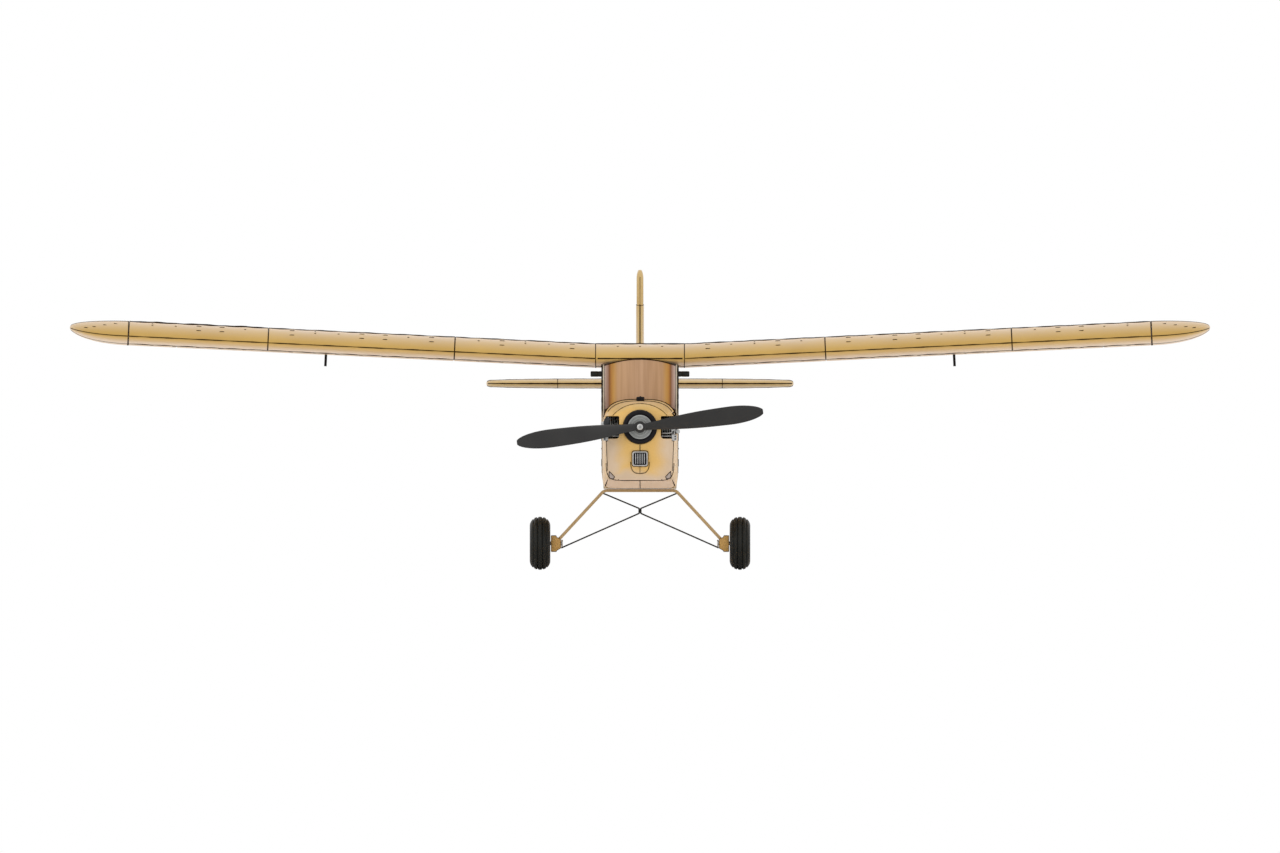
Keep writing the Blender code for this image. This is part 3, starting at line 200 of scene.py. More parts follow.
def noise(tree, where, scale, detail):
    return add_node(tree, "TexNoise", {"Vector": where, "Scale": scale, "Detail": detail}).outputs["Fac"]


def arithmetic(tree, operation, one, two=0.0):
    return add_node(tree, "Math", {0: one, 1: two}, operation=operation).outputs["Value"]


def remap(tree, value, start, end, low=0.0, high=1.0, kind="SMOOTHSTEP"):
    """Carries the range from start to end on to low to high, and holds it outside them."""
    values = {"Value": value, "From Min": start, "From Max": end, "To Min": low, "To Max": high}
    return add_node(tree, "MapRange", values, interpolation_type=kind).outputs["Result"]


def mix_colours(tree, share, one, two, mode="MIX"):
    values = {"Factor": share, "A": one, "B": two}
    return add_node(tree, "Mix", values, data_type="RGBA", blend_type=mode).outputs["Result"]


def ramp(tree, factor, stops):
    made = add_node(tree, "ValToRGB", {"Fac": factor})
    elements = made.color_ramp.elements
    while len(elements) < len(stops):
        elements.new(0.5)
    for element, (position, colour) in zip(elements, stops):
        element.position = position
        element.color = (*colour, 1.0)
    return made.outputs["Color"]


def new_material(name, constants):
    """A material with its shader's constant sockets set. Underscores in their names stand for spaces."""
    made = bpy.data.materials.new(name)
    made.use_nodes = True
    shader = made.node_tree.nodes["Principled BSDF"]
    for key, value in constants.items():
        shader.inputs[key.replace("_", " ")].default_value = value
    return made, made.node_tree, shader


def connect(tree, shader, colour, roughness, height, strength, distance):
    """Feeds a shader's colour and roughness, and its normal from a height."""
    relief = add_node(tree, "Bump", {"Height": height, "Strength": strength, "Distance": distance})
    tree.links.new(colour, shader.inputs["Base Color"])
    tree.links.new(roughness, shader.inputs["Roughness"])
    tree.links.new(relief.outputs["Normal"], shader.inputs["Normal"])


def finish(name, light, dark, rough=(0.4, 0.55), coarse=30.0, fine=900.0, stretch=(1, 1, 1), bump=0.1,
           contrast=0.6, depth=0.0002, **constants):
    """A surface whose tone and gloss wander at one scale, and whose grain shows at a finer one."""
    made, tree, shader = new_material(name, constants)
    where = add_node(tree, "TexCoord").outputs["Object"]
    where = add_node(tree, "Mapping", {"Vector": where, "Scale": stretch}).outputs["Vector"]
    cloud, grain = noise(tree, where, coarse, 3.0), noise(tree, where, fine, 4.0)
    mixed = add_node(tree, "Mix", {"Factor": 1.0 - contrast, "A": cloud, "B": grain}).outputs["Result"]
    colour = ramp(tree, mixed, ((0.35, dark), (0.65, light)))
    gloss = remap(tree, cloud, 0.3, 0.7, *rough, kind="LINEAR")
    connect(tree, shader, colour, gloss, grain, bump, depth)
    return made


GRAIN_ALONG_X, GRAIN_ALONG_Y = (8, 260, 260), (260, 8, 260)


def wood(name, light, dark, stretch):
    """Fine straight grain along one axis."""
    return finish(name, light, dark, (0.55, 0.75), 1.0, 3.0, stretch, bump=0.35, contrast=0.7, depth=0.0003)


def base_colour(made):
    """A finished material's node tree, its shader's colour input, and what feeds it."""
    colour_input = made.node_tree.nodes["Principled BSDF"].inputs["Base Color"]
    return made.node_tree, colour_input, colour_input.links[0].from_socket


def facing(tree, axis):
    """How far the surface faces along an axis of the frame."""
    normal = add_node(tree, "TexCoord").outputs["Normal"]
    return add_node(tree, "SeparateXYZ", {"Vector": normal}).outputs[axis]


def film(name, light, dark, rough=(0.36, 0.48), coarse=22.0, under=(0.86, 0.59, 0.30), painted_underside_share=0.45):
    """A covering film with painted light on its underside: where it faces the ground, its colour is mixed
    towards another colour, standing in for the light and shade that come from below.
    """
    made = finish(name, light, dark, rough, coarse, 1400.0, bump=0.05,
                  Sheen_Weight=0.55, Sheen_Roughness=0.38, Sheen_Tint=(1.0, 0.87, 0.82, 1.0))
    tree, colour_input, gold = base_colour(made)
    # painted underside light: a flat colour is mixed in where the surface faces down
    share = remap(tree, facing(tree, "Z"), -0.15, -0.85, high=painted_underside_share)
    tree.links.new(mix_colours(tree, share, gold, (*under, 1.0)), colour_input)
    return made


def cowl_paint_and_painted_light(name):
    """The cowl's gold with painted light: where its flanks and chin face ahead they are painted a pale pink
    that stands in for sheen at grazing angles, and its top is painted darker as shade.
    """
    made = finish(name, (0.78, 0.48, 0.135), (0.69, 0.41, 0.105), (0.30, 0.42), 24.0, 1100.0, bump=0.04,
                  Sheen_Weight=0.22, Sheen_Roughness=0.3, Sheen_Tint=(1.0, 0.84, 0.80, 1.0))
    tree, colour_input, gold = base_colour(made)
    where = add_node(tree, "TexCoord").outputs["Object"]
    split = add_node(tree, "SeparateXYZ", {"Vector": where})
    drift = noise(tree, where, 55.0, 2.0)
    shift = remap(tree, drift, 0.3, 0.7, -0.003, 0.003, "LINEAR")
    aside = arithmetic(tree, "ADD", arithmetic(tree, "ABSOLUTE", split.outputs["X"]), shift)
    height = arithmetic(tree, "ADD", split.outputs["Z"], shift)
    # painted sheen: the flanks and chin, where they face ahead, fade to a pale pink
    flank = remap(tree, aside, 0.008, 0.023, high=0.85)
    flank = arithmetic(tree, "MULTIPLY", flank, remap(tree, split.outputs["Z"], 0.112, 0.100))
    chin = remap(tree, height, 0.084, 0.071, high=0.9)
    ahead = remap(tree, facing(tree, "Y"), -0.07, -0.35)
    painted_sheen_share = arithmetic(tree, "MULTIPLY", arithmetic(tree, "MAXIMUM", flank, chin), ahead)
    painted_sheen_tone = ramp(tree, drift, ((0.3, (0.60, 0.455, 0.33)), (0.7, (0.66, 0.515, 0.385))))
    pale = ramp(tree, drift, ((0.3, (0.77, 0.57, 0.43)), (0.7, (0.83, 0.63, 0.49))))
    painted_sheen_tone = mix_colours(tree, remap(tree, split.outputs["Z"], 0.0718, 0.0694, kind="LINEAR"), painted_sheen_tone, pale)
    # painted shade: darker over the top, countering the light that falls there from above
    crown = remap(tree, height, 0.121, 0.129, high=0.8)
    gold = mix_colours(tree, crown, gold, (0.56, 0.36, 0.115, 1.0))
    tree.links.new(mix_colours(tree, painted_sheen_share, gold, painted_sheen_tone), colour_input)
    return made


# The tinted sheet's colour from the middle of the cabin to its side, as (share of the half width, colour).
# Towards the side it holds painted reflection: a golden band, a dark band and a pale edge, standing in for
# the light on the sheet's curve.
TINT_HALF_WIDTH = 0.028
TINT_AND_PAINTED_REFLECTION_BANDS = (
    (0.0, (0.47, 0.28, 0.155)), (0.62, (0.48, 0.28, 0.14)), (0.74, (0.52, 0.27, 0.06)),
    (0.81, (0.40, 0.17, 0.025)), (0.86, (0.20, 0.07, 0.012)), (0.92, (0.36, 0.22, 0.16)),
    (1.0, (0.55, 0.42, 0.36)))


def tinted(name, alpha):
    """The thin tinted sheet: faint upright streaks, with painted reflection near each edge: a golden band, a
    dark band and a pale edge.
    """
    made, tree, shader = new_material(name, {"Alpha": alpha, "Specular_IOR_Level": 0.28, "Coat_Weight": 0.15,
                                             "Coat_Roughness": 0.08, "IOR": 1.49})
    where = add_node(tree, "TexCoord").outputs["Object"]
    drawn = add_node(tree, "Mapping", {"Vector": where, "Scale": (260, 12, 9)}).outputs["Vector"]
    streak = noise(tree, drawn, 1.0, 3.0)
    aside = arithmetic(tree, "ABSOLUTE", add_node(tree, "SeparateXYZ", {"Vector": where}).outputs["X"])
    # the tint across the width, with painted reflection bands near the sides
    bands = ramp(tree, remap(tree, aside, 0.0, TINT_HALF_WIDTH, kind="LINEAR"), TINT_AND_PAINTED_REFLECTION_BANDS)
    streaks = ramp(tree, streak, ((0.36, (0.84, 0.80, 0.76)), (0.64, (1.05, 1.05, 1.06))))
    colour = mix_colours(tree, 1.0, bands, streaks, "MULTIPLY")
    connect(tree, shader, colour, remap(tree, streak, 0.0, 1.0, 0.14, 0.30, "LINEAR"), streak, 0.12, 0.0003)
    return made


LOOKS = {
    "wing": film("wing_film", (0.56, 0.345, 0.076), (0.48, 0.285, 0.056), (0.34, 0.46)),
    # the tail's painted underside colour is darker than its film, so it acts as painted shade
    "tail": film("tail_film", (0.60, 0.42, 0.165), (0.52, 0.35, 0.13), coarse=26.0, under=(0.40, 0.27, 0.10),
                 painted_underside_share=0.5),
    "body": film("fuselage_film", (0.57, 0.365, 0.10), (0.49, 0.30, 0.078)),
    "cowl": cowl_paint_and_painted_light("cowl_paint_and_painted_light"),
    "seam": finish("seam_shadow", (0.030, 0.012, 0.004), (0.010, 0.005, 0.002), (0.8, 0.95), 120.0,
                   Specular_IOR_Level=0.08),
    "edge": finish("edge_binding", (0.014, 0.009, 0.006), (0.007, 0.005, 0.004), (0.7, 0.9), 90.0, 800.0,
                   Specular_IOR_Level=0.08),
    "outlet": finish("outlet_skin", (0.44, 0.36, 0.32), (0.36, 0.29, 0.26), (0.5, 0.6), 200.0, 1500.0),
    "tape": finish("edge_tape", (0.56, 0.48, 0.37), (0.48, 0.39, 0.28), (0.45, 0.6), 120.0, 1400.0,
                   bump=0.05),
    "glass": tinted("tinted_windshield", 0.97),
    "pane": tinted("tinted_side_window", 0.62),
    "wood": wood("frame_wood", (0.62, 0.44, 0.22), (0.45, 0.29, 0.12), GRAIN_ALONG_Y),
    "spar": wood("spar_wood", (0.60, 0.42, 0.20), (0.44, 0.28, 0.12), GRAIN_ALONG_X),
    "plastic": finish("black_nylon", (0.036, 0.035, 0.034), (0.029, 0.028, 0.028), (0.42, 0.55), 60.0, 1800.0,
                      bump=0.05, Specular_IOR_Level=0.16),
    "ring": finish("ring_black", (0.010, 0.008, 0.010), (0.005, 0.004, 0.005), (0.30, 0.45), 150.0, 1200.0,
                   Specular_IOR_Level=0.14),
    "cylinder": finish("cylinder_black", (0.045, 0.048, 0.052), (0.018, 0.020, 0.022), (0.30, 0.45), 160.0,
                       1300.0, Metallic=0.5, Specular_IOR_Level=0.5),
    "dowel": finish("dowel_black", (0.016, 0.018, 0.016), (0.008, 0.009, 0.008), (0.35, 0.5), 3.0, 9.0,
                    GRAIN_ALONG_X, bump=0.3, Specular_IOR_Level=0.2),
    "plug": finish("plug_alloy", (0.42, 0.43, 0.42), (0.29, 0.295, 0.285), (0.35, 0.5), 180.0, 1600.0,
                   Metallic=0.5, Specular_IOR_Level=0.3),
    "tick": finish("plug_ticks", (0.16, 0.16, 0.155), (0.09, 0.09, 0.09), (0.45, 0.6), 200.0, 1200.0),
    "brass": finish("bearing_brass", (0.60, 0.44, 0.18), (0.45, 0.32, 0.12), (0.25, 0.4), 120.0,
                    Metallic=1.0),
    "bright": finish("bright_metal", (0.58, 0.58, 0.57), (0.40, 0.40, 0.40), (0.22, 0.38), 160.0, 1200.0,
                     Metallic=0.9),
    "steel": finish("wire_steel", (0.045, 0.045, 0.040), (0.022, 0.022, 0.019), (0.35, 0.5), 300.0, 1500.0,
                    Metallic=0.35, Specular_IOR_Level=0.2),
    "gear": finish("gear_paint", (0.50, 0.34, 0.16), (0.42, 0.28, 0.12), (0.32, 0.46), 60.0, 1300.0,
                   bump=0.05, Sheen_Weight=0.4, Sheen_Roughness=0.4, Sheen_Tint=(1.0, 0.86, 0.84, 1.0)),
    "block": finish("block_plastic", (0.57, 0.33, 0.082), (0.50, 0.28, 0.065), (0.38, 0.5), 40.0, 700.0,
                    bump=0.02, contrast=0.9),
    "tyre": finish("tyre_rubber", (0.013, 0.013, 0.011), (0.010, 0.010, 0.008), (0.42, 0.52), 40.0, 700.0,
                   bump=0.02, contrast=0.9, Specular_IOR_Level=0.2),
    "hub": finish("hub_plastic", (0.50, 0.49, 0.46), (0.42, 0.41, 0.39), (0.32, 0.48), 110.0, 1300.0,
                  Metallic=0.2),
    "rubber": finish("motor_rubber", (0.40, 0.27, 0.12), (0.30, 0.19, 0.08), (0.55, 0.75), 140.0, 1500.0,
                     bump=0.15),
}


# ---------------------------------------------------------------- mesh building

class Shape:
    """Closed shells and open grids gathered into one mesh. Points are in the frame, in metres."""

    def __init__(self):
        self.points, self.faces, self.looks = [], [], []

    def face(self, corners, look):
        self.faces.append(corners)
        self.looks.append(look)

    def loft(self, rings, look=0, caps=True, hoop=False, closed=True):
        """Joins rings of points. hoop joins the last ring to the first; closed joins each ring's ends."""
        first, count, total = len(self.points), len(rings[0]), len(rings)
        for ring in rings:
            self.points.extend(Vector(point) for point in ring)
        for r in range(total if hoop else total - 1):
            a, b = first + r * count, first + (r + 1) % total * count
            for i in range(count if closed else count - 1):
                j = (i + 1) % count
                self.face((a + i, a + j, b + j, b + i), look)
        if caps and closed and not hoop:
            self.face(tuple(range(first, first + count)), look)
            self.face(tuple(range(first + (total - 1) * count, first + total * count)), look)

    def grid(self, rings):
        self.loft(rings, caps=False, closed=False)

    def slab(self, outline, stations, side=1):
        """An outline of (x, z) drawn out from one station to another."""
        self.loft([[place(side * x, station, z) for x, z in outline] for station in stations])

    def box(self, x, station, z):
        corners = ((0, 0), (1, 0), (1, 1), (0, 1))
        self.loft([[place(x[i], station[a], z[b]) for a, b in corners] for i in (0, 1)])

    def tube(self, path, radius, look=0, sides=6, rounded=False, hoop=False):
        """A bar along points, or round a closed path if hoop. radius is one number or one for each point."""
        path = [Vector(point) for point in path]
        last = len(path) - 1
        radii = [radius] * len(path) if isinstance(radius, (int, float)) else list(radius)
        after = path[1:] + [path[0] if hoop else path[last]]
        before = [path[last] if hoop else path[0]] + path[:last]
        along = [(b - a).normalized() for a, b in zip(before, after)]
        across = along[0].orthogonal().normalized()
        rings = []
        for i, (point, size) in enumerate(zip(path, radii)):
            if i:
                across = along[i - 1].rotation_difference(along[i]) @ across
            across = (across - along[i] * across.dot(along[i])).normalized()
            other = along[i].cross(across)
            ring = [(across * cos(a) + other * sin(a)) * size * MM for a in circle(sides)]
            dome = along[i] * size * 0.55 * MM
            if rounded and i == 0:
                rings.append([point - dome + p * 0.5 for p in ring])
            rings.append([point + p for p in ring])
            if rounded and i == last:
                rings.append([point + dome + p * 0.5 for p in ring])
        self.loft(rings, look, hoop=hoop)

    def hoop(self, path, radius, sides=6):
        self.tube(path, radius, sides=sides, hoop=True)

    def turned(self, profile, centre, axis, look=0, sides=64):
        """A solid turned about an axis. profile holds (radius, height along the axis) in millimetres."""
        axis = Vector(axis).normalized()
        across = axis.orthogonal().normalized()
        other = axis.cross(across)
        rings = []
        for a in circle(sides):
            out = across * cos(a) + other * sin(a)
            rings.append([Vector(centre) + (out * r + axis * h) * MM for r, h in profile])
        self.loft(rings, look, hoop=True, closed=profile[0][0] > 0)

    def ball(self, centre, radius, axis=UP):
        side = [(radius * sin(a), -radius * cos(a)) for a in steps(0.0, pi, 8)[1:-1]]
        self.turned([(0.0, -radius), *side, (0.0, radius)], centre, axis, sides=20)

    def object(self, name, looks=()):
        work = bmesh.new()
        points = [work.verts.new(p) for p in self.points]
        for corners, look in zip(self.faces, self.looks):
            work.faces.new([points[i] for i in corners]).material_index = look
        bmesh.ops.remove_doubles(work, verts=work.verts, dist=1e-7)
        bmesh.ops.dissolve_degenerate(work, edges=work.edges, dist=1e-8)
        bmesh.ops.recalc_face_normals(work, faces=work.faces)
        data = bpy.data.meshes.new(name)
        work.to_mesh(data)
        work.free()
        for look in looks:
            data.materials.append(LOOKS[look])
        return add_object(name, data)

    def piece(self, name, looks, slot, node=None, body="root", sharp=35.0, bevel=0.0, cuts=(), sheet=0.0,
              outward=None):
        """Makes the object, which stands for a CAD node if one is named. body is None to leave it unattached.

        cuts holds (CUT or JOIN, Shape); sheet thickens an open grid, whose front faces outward; bevel rounds
        edges. They are settled into the mesh at once, so that no modifier is left.
        """
        made = self.object(name, looks)
        if outward:
            total = sum((face.normal * face.area for face in made.data.polygons), Vector())
            if total.dot(Vector(outward)) < 0:
                made.data.flip_normals()
        if sheet:
            step = made.modifiers.new("sheet", "SOLIDIFY")
            step.thickness = sheet * MM
            step.offset = -1
        tools = []
        for operation, tool in cuts:
            tools.append(tool.object(f"{name}_tool"))
            step = made.modifiers.new("cut", "BOOLEAN")
            step.operation = operation
            step.solver = "EXACT"
            step.object = tools[-1]
        if bevel:
            step = made.modifiers.new("bevel", "BEVEL")
            step.width = bevel * MM
            step.segments = 3
            step.limit_method = "ANGLE"
            step.angle_limit = radians(40)
        if len(made.modifiers):
            bpy.context.view_layer.update()
            settled = made.evaluated_get(bpy.context.evaluated_depsgraph_get())
            old, made.data = made.data, bpy.data.meshes.new_from_object(settled)
            made.modifiers.clear()
            bpy.data.meshes.remove(old)
            made.data.name = name
            while len(made.data.materials) > len(looks):
                made.data.materials.pop()
        for tool in tools:
            bpy.data.meshes.remove(tool.data)
        made.data.shade_smooth()
        made.data.set_sharp_from_angle(angle=radians(sharp))
        if body:
            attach(made, body)
        if node:
            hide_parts(node)
        return made


def lofted(rings):
    shape = Shape()
    shape.loft(rings)
    return shape


def dress(look, *names):
    """Gives CAD solids that stay in sight a look."""
    for name in names:
        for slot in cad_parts[name].material_slots:
            slot.material = LOOKS[look]


def rounded_outline(a0, a1, b0, b1, radius, corner_steps=6):
    points = []
    centres = ((a1 - radius, b1 - radius, 0), (a0 + radius, b1 - radius, 90),
               (a0 + radius, b0 + radius, 180), (a1 - radius, b0 + radius, 270))
    for a, b, start in centres:
        for turn in steps(radians(start), radians(start + 90), corner_steps):
            points.append((a + radius * cos(turn), b + radius * sin(turn)))
    return points


def box_tool(x, station, z):
    tool = Shape()
    tool.box(sorted(x), station, z)
    return tool


def slab_tool(outline, stations, side=1):
    tool = Shape()
    tool.slab(outline, stations, side)
    return tool


def rod_tool(start, end, radius, sides=32):
    tool = Shape()
    tool.tube([start, end], radius, sides=sides)
    return tool


def drawn_round(corners, count):
    """Points round a closed outline: its corners, and others evenly between them."""
    points = []
    for (a, b), (c, d) in zip(corners, corners[1:] + corners[:1]):
        points += [(a + (c - a) * t, b + (d - b) * t) for t in steps(0, 1, count)[:-1]]
    return points


# ---------------------------------------------------------------- wing

def camber_and_half(x):
    """The height of the mean line and half the thickness at a part x of the chord, for a chord of 1."""
    if x < CAMBER_PLACE:
        camber = CAMBER / CAMBER_PLACE ** 2 * (2 * CAMBER_PLACE * x - x * x)
    else:
        rear = (1 - CAMBER_PLACE) ** 2
        camber = CAMBER / rear * (1 - 2 * CAMBER_PLACE + 2 * CAMBER_PLACE * x - x * x)
    half = 0.2969 * sqrt(x) - 0.126 * x - 0.3516 * x ** 2 + 0.2843 * x ** 3 - 0.1036 * x ** 4
    return camber, 5 * THICKNESS * half + x * EDGE_THICKNESS / 2 / CHORD


def on_chord(x, height):
    aft = x * CHORD * cos(INCIDENCE) + height * sin(INCIDENCE)
    up = -x * CHORD * sin(INCIDENCE) + height * cos(INCIDENCE)
    return aft, up


def surface(x, upper, inset=0.0):
    camber, half = camber_and_half(x)
    height = (camber + half) * CHORD - inset if upper else (camber - half) * CHORD + inset
    return on_chord(x, height)


def film_sag(x):
    """Where along the chord the film is free to sag between ribs."""
    return smooth((x - 0.13) / 0.08) * (1 - smooth((x - 0.90) / 0.06))


def wing_section(sag=0.0, outset=0.0, end=1.0):
    """The outline of a section, up to a part of the chord, from its upper rear round to its lower rear."""
    places = [end * (1 - cos(a)) / 2 for a in steps(0.0, pi, 34)]
    upper = [surface(x, True, sag * film_sag(x) - outset) for x in reversed(places)]
    lower = [surface(x, False, sag * film_sag(x) - outset) for x in places[1:]]
    return upper + lower


def panel_point(side, span, aft, up):
    x = BREAK_X + span * cos(DIHEDRAL) - up * sin(DIHEDRAL)
    z = WING_Z + span * sin(DIHEDRAL) + up * cos(DIHEDRAL)
    return place(side * x, WING_STATION + aft, z)


def centre_point(span, aft, up):
    return place(span, WING_STATION + aft, WING_Z + up)


def span_of(x):
    """The distance along a panel, from the middle panel's end, of a point x of the front view."""
    return (x - BREAK_X) / cos(DIHEDRAL)


def highest(upper):
    """The part of the chord where the section is tallest, or lowest, as seen from the front."""
    places = [i / 400 for i in range(4, 240)]
    return max(places, key=lambda x: surface(x, upper)[1] * (1 if upper else -1))


def place_at_height(up):
    """The part of the chord, ahead of the crest, where the upper surface is up above the leading edge."""
    x = 0.0
    while surface(x, True)[1] < up and x < 0.35:
        x += 0.0005
    return x


HINGE = on_chord(HINGE_CHORD, camber_and_half(HINGE_CHORD)[0] * CHORD)
NOTCH_CHORD = (HINGE[0] - AILERON_NOSE - 1.1) / (CHORD * cos(INCIDENCE))
AILERON_START, AILERON_END = span_of(SEAMS_X[0]) + 0.5, span_of(AILERON_END_X)
CREST, KEEL = surface(highest(True), True), surface(highest(False), False)
BAY_STEPS = (0.0, 0.05, 0.16, 0.33, 0.5, 0.67, 0.84, 0.95)


def ribs_between(start, end):
    return steps(start, end, max(round((end - start) / RIB_PITCH), 1))


def film_rings(ribs, ring_at, sag=0.32):
    """Rings along a panel, with the film drawn in between its ribs."""
    rings = []
    for low, high in zip(ribs, ribs[1:]):
        for step in BAY_STEPS:
            rings.append(ring_at(low + (high - low) * step, sag * sin(pi * step) ** 1.3))
    rings.append(ring_at(ribs[-1], 0.0))
    return rings


def span_line(shape, point, start, end, spot, radius, seed, uneven=0.4):
    """A seam along a panel, drawn with an uneven hand."""
    spans = steps(start, end, max(int((end - start) / 3), 2))
    radii = [radius * (1 + uneven * wander(s * 0.11, seed)) for s in spans]
    shape.tube([point(s, *spot) for s in spans], radii, 1)


def stitches(shape, point, ribs, seed, keel=True):
    """Short dark marks where the covering is tied to each rib: one or two above, and one along the keel."""
    high, middle, near, low = [place_at_height(up) for up in (10.3, 9.4, 9.0, 6.9)]
    pair, single, short = ((high, 2.0), (low, 1.9)), ((middle, 0.8),), ((high, 0.7), (near, 0.7))
    patterns = (pair, pair, single, pair, short, single)
    for i, rib in enumerate(ribs):
        kind = (i * 5 + int(seed * 3)) % len(patterns) if keel else 2
        marks = [(*surface(x, True), half, 0.42) for x, half in patterns[kind]]
        if keel:
            marks.append((KEEL[0], KEEL[1] - 0.1, 2.3 if kind % 2 else 1.8, 0.5))
        tilt = 0.25 * wander(rib, seed)
        for aft, up, half, thick in marks:
            ends = [point(rib + h, aft, up + tilt * h / 4) for h in (-half, -half * 0.6, half * 0.6, half)]
            shape.tube(ends, (0.2, thick, thick, 0.2), 1)


def end_rib(shape, point, spans, section):
    """The dark end rib that fills the joint between two panels, and shows there as a line."""
    shape.loft([[point(span, aft, up) for aft, up in section] for span in spans], 1)


def make_wing_centre():
    half = BREAK_X - GAP / 2
    shape = Shape()
    ribs = ribs_between(-half, half)
    shape.loft(film_rings(ribs, lambda span, sag: [centre_point(span, a, u) for a, u in wing_section(sag)]))
    for side in (-1, 1):
        ends = (side * (BREAK_X + GAP - 0.02), side * (half - 0.25))
        end_rib(shape, centre_point, ends, wing_section(outset=0.06))
    span_line(shape, centre_point, 1.4 - half, half - 1.4, (0.1, 0.0), 0.52, 0.3, 0.25)
    span_line(shape, centre_point, -half, half, (CREST[0], CREST[1] + 0.2), 0.5, 0.7, 0.15)
    span_line(shape, centre_point, -half, half, (KEEL[0], KEEL[1] - 0.05), 0.4, 0.9, 0.25)
    stitches(shape, centre_point, ribs[1:-1], 1.4, keel=False)
    shape.piece("wing_centre_cover", ("wing", "seam"), "wing_cover", "wing_centre")


def make_wing_panel(name, side, start, end, notched, seed):
    """An outer panel. notched is the span up to which an aileron takes its rear part, or None."""
    shape = Shape()

    def point(span, aft, up):
        return panel_point(side, span, aft, up)

    def run(low, high, chord_end, mitre=False):
        def ring_at(span, sag):
            lean = tan(DIHEDRAL) if mitre and span <= low else 0.0
            return [point(span + up * lean, aft, up) for aft, up in wing_section(sag, end=chord_end)]
        shape.loft(film_rings(ribs_between(low, high), ring_at))

    if notched is None:
        run(start, end, 1.0, mitre=True)
    else:
        run(start, min(notched, end), NOTCH_CHORD)
    if notched and notched < end:
        run(notched + 0.02, end, 1.0)
    reach = GAP / 2 - 0.01
    last = 1.0 if notched and notched < end else NOTCH_CHORD
    if start > 1.0:
        end_rib(shape, point, (start - reach, start + 0.32), wing_section(outset=0.06, end=NOTCH_CHORD))
    end_rib(shape, point, (end + reach, end - 0.32), wing_section(outset=0.06, end=last))
    bold = 0.8 if side < 0 and start > span_of(SEAMS_X[1]) else 0.5
    span_line(shape, point, start, end, (0.1, 0.0), 0.40, seed, 0.35)
    span_line(shape, point, start, end, (CREST[0], CREST[1] + 0.02), bold, seed + 1)
    span_line(shape, point, start, end, KEEL, 0.34, seed + 2)
    stitches(shape, point, ribs_between(start, end)[1:-1], seed)
    shape.piece(f"{name}_cover", ("wing", "seam"), "wing_cover", name)


def make_wing_tip(name, side):
    start = span_of(SEAMS_X[2]) + GAP / 2
    length = (HALF_SPAN - SEAMS_X[2]) / cos(DIHEDRAL) - GAP / 2
    middle, rest_height, upsweep, plan_power = 0.45 * CHORD, 2.2, 2.4, 2.3
    shape = Shape()

    def shaped(t, aft, up):
        """A point of the section, drawn in towards the tip, which is at t = 1."""
        slim = sqrt(1 - t * t)
        plan = (1 - t ** plan_power) ** (1 / plan_power)
        return panel_point(side, start + length * t, middle + (aft - middle) * plan,
                           rest_height + (up - rest_height) * slim + upsweep * t ** 3)

    spots = [0.999 * sin(a) for a in steps(0.0, pi / 2, 34)]
    shape.loft([[shaped(t, a, u) for a, u in wing_section()] for t in spots])
    end_rib(shape, lambda *at: panel_point(side, *at), (start + 0.01 - GAP / 2, start + 0.55),
            wing_section(outset=0.08))
    line = [t for t in spots if t < 0.985]
    crest = (CREST[0], CREST[1] + 0.02)
    for spot, radius, taper in (((0.1, 0.0), 0.40, 0.15), (crest, 0.46, 0.2), (KEEL, 0.34, 0.1)):
        shape.tube([shaped(t, *spot) for t in line], [radius - taper * t for t in line], 1)
    for t, height in ((0.22, 9.4), (0.40, 8.2), (0.58, 6.4), (0.72, 5.0)):
        aft, up = surface(place_at_height(height), True)
        shape.tube([shaped(t + d, aft, up + d * 9) for d in (-0.035, 0.0, 0.035)], (0.2, 0.4, 0.2), 1)
    shape.piece(f"{name}_cover", ("wing", "seam"), "wing_cover", name)


def make_aileron(label, side):
    shape = Shape()

    def section(sag):
        places = [1.0 - 0.17 * i / 8 for i in range(9)]

        def inset(x):
            return sag * smooth((x - 0.83) / 0.05) * (1 - smooth((x - 0.93) / 0.05))

        upper = [surface(x, True, inset(x)) for x in places]
        lower = [surface(x, False, inset(x)) for x in reversed(places)]
        turns = [radians(90 + 10 * i) + INCIDENCE / 2 for i in range(19)]
        nose = [(HINGE[0] + AILERON_NOSE * cos(a), HINGE[1] + AILERON_NOSE * sin(a)) for a in turns]
        return upper + nose + lower

    def ring_at(span, sag):
        return [panel_point(side, span, aft, up) for aft, up in section(sag)]

    shape.loft(film_rings(ribs_between(AILERON_START, AILERON_END), ring_at, 0.22))
    ends = [panel_point(side, span, *HINGE) for span in (AILERON_START - 6, AILERON_END + 6)]
    shape.piece(f"aileron_cover_{label}", ("wing", "seam"), "wing_cover", f"aileron_{label}",
                f"{label}_aileron", cuts=((CUT, rod_tool(*ends, 0.9, 12)),))
    dress("steel", f"aileron_{label}_hinge_pin")


def make_aileron_horn(label, side):
    half, centre = 1.0, span_of(HORN_X)
    aft, up = HINGE
    top = up - camber_and_half(HINGE_CHORD)[1] * CHORD - GAP - 0.1
    outline = ((-0.8, 0.0), (8.5, -0.2), (7.0, -1.6), (4.2, -4.6), (3.3, -8.3), (2.4, -9.4), (-0.2, -9.4),
               (-0.8, -8.6))
    shape = Shape()
    shape.loft([[panel_point(side, centre + h, aft + a, top + b) for a, b in outline]
                for h in (-half, half)])
    holes = []
    for drop in (5.2, 7.6):
        ends = [panel_point(side, centre + h, aft + 1.2, top - drop) for h in (-3, 3)]
        holes.append((CUT, rod_tool(*ends, 0.5, 16)))
    shape.piece(f"aileron_horn_plate_{label}", ("ring",), "black_plastic", f"aileron_horn_{label}",
                f"{label}_aileron", bevel=0.3, cuts=holes)


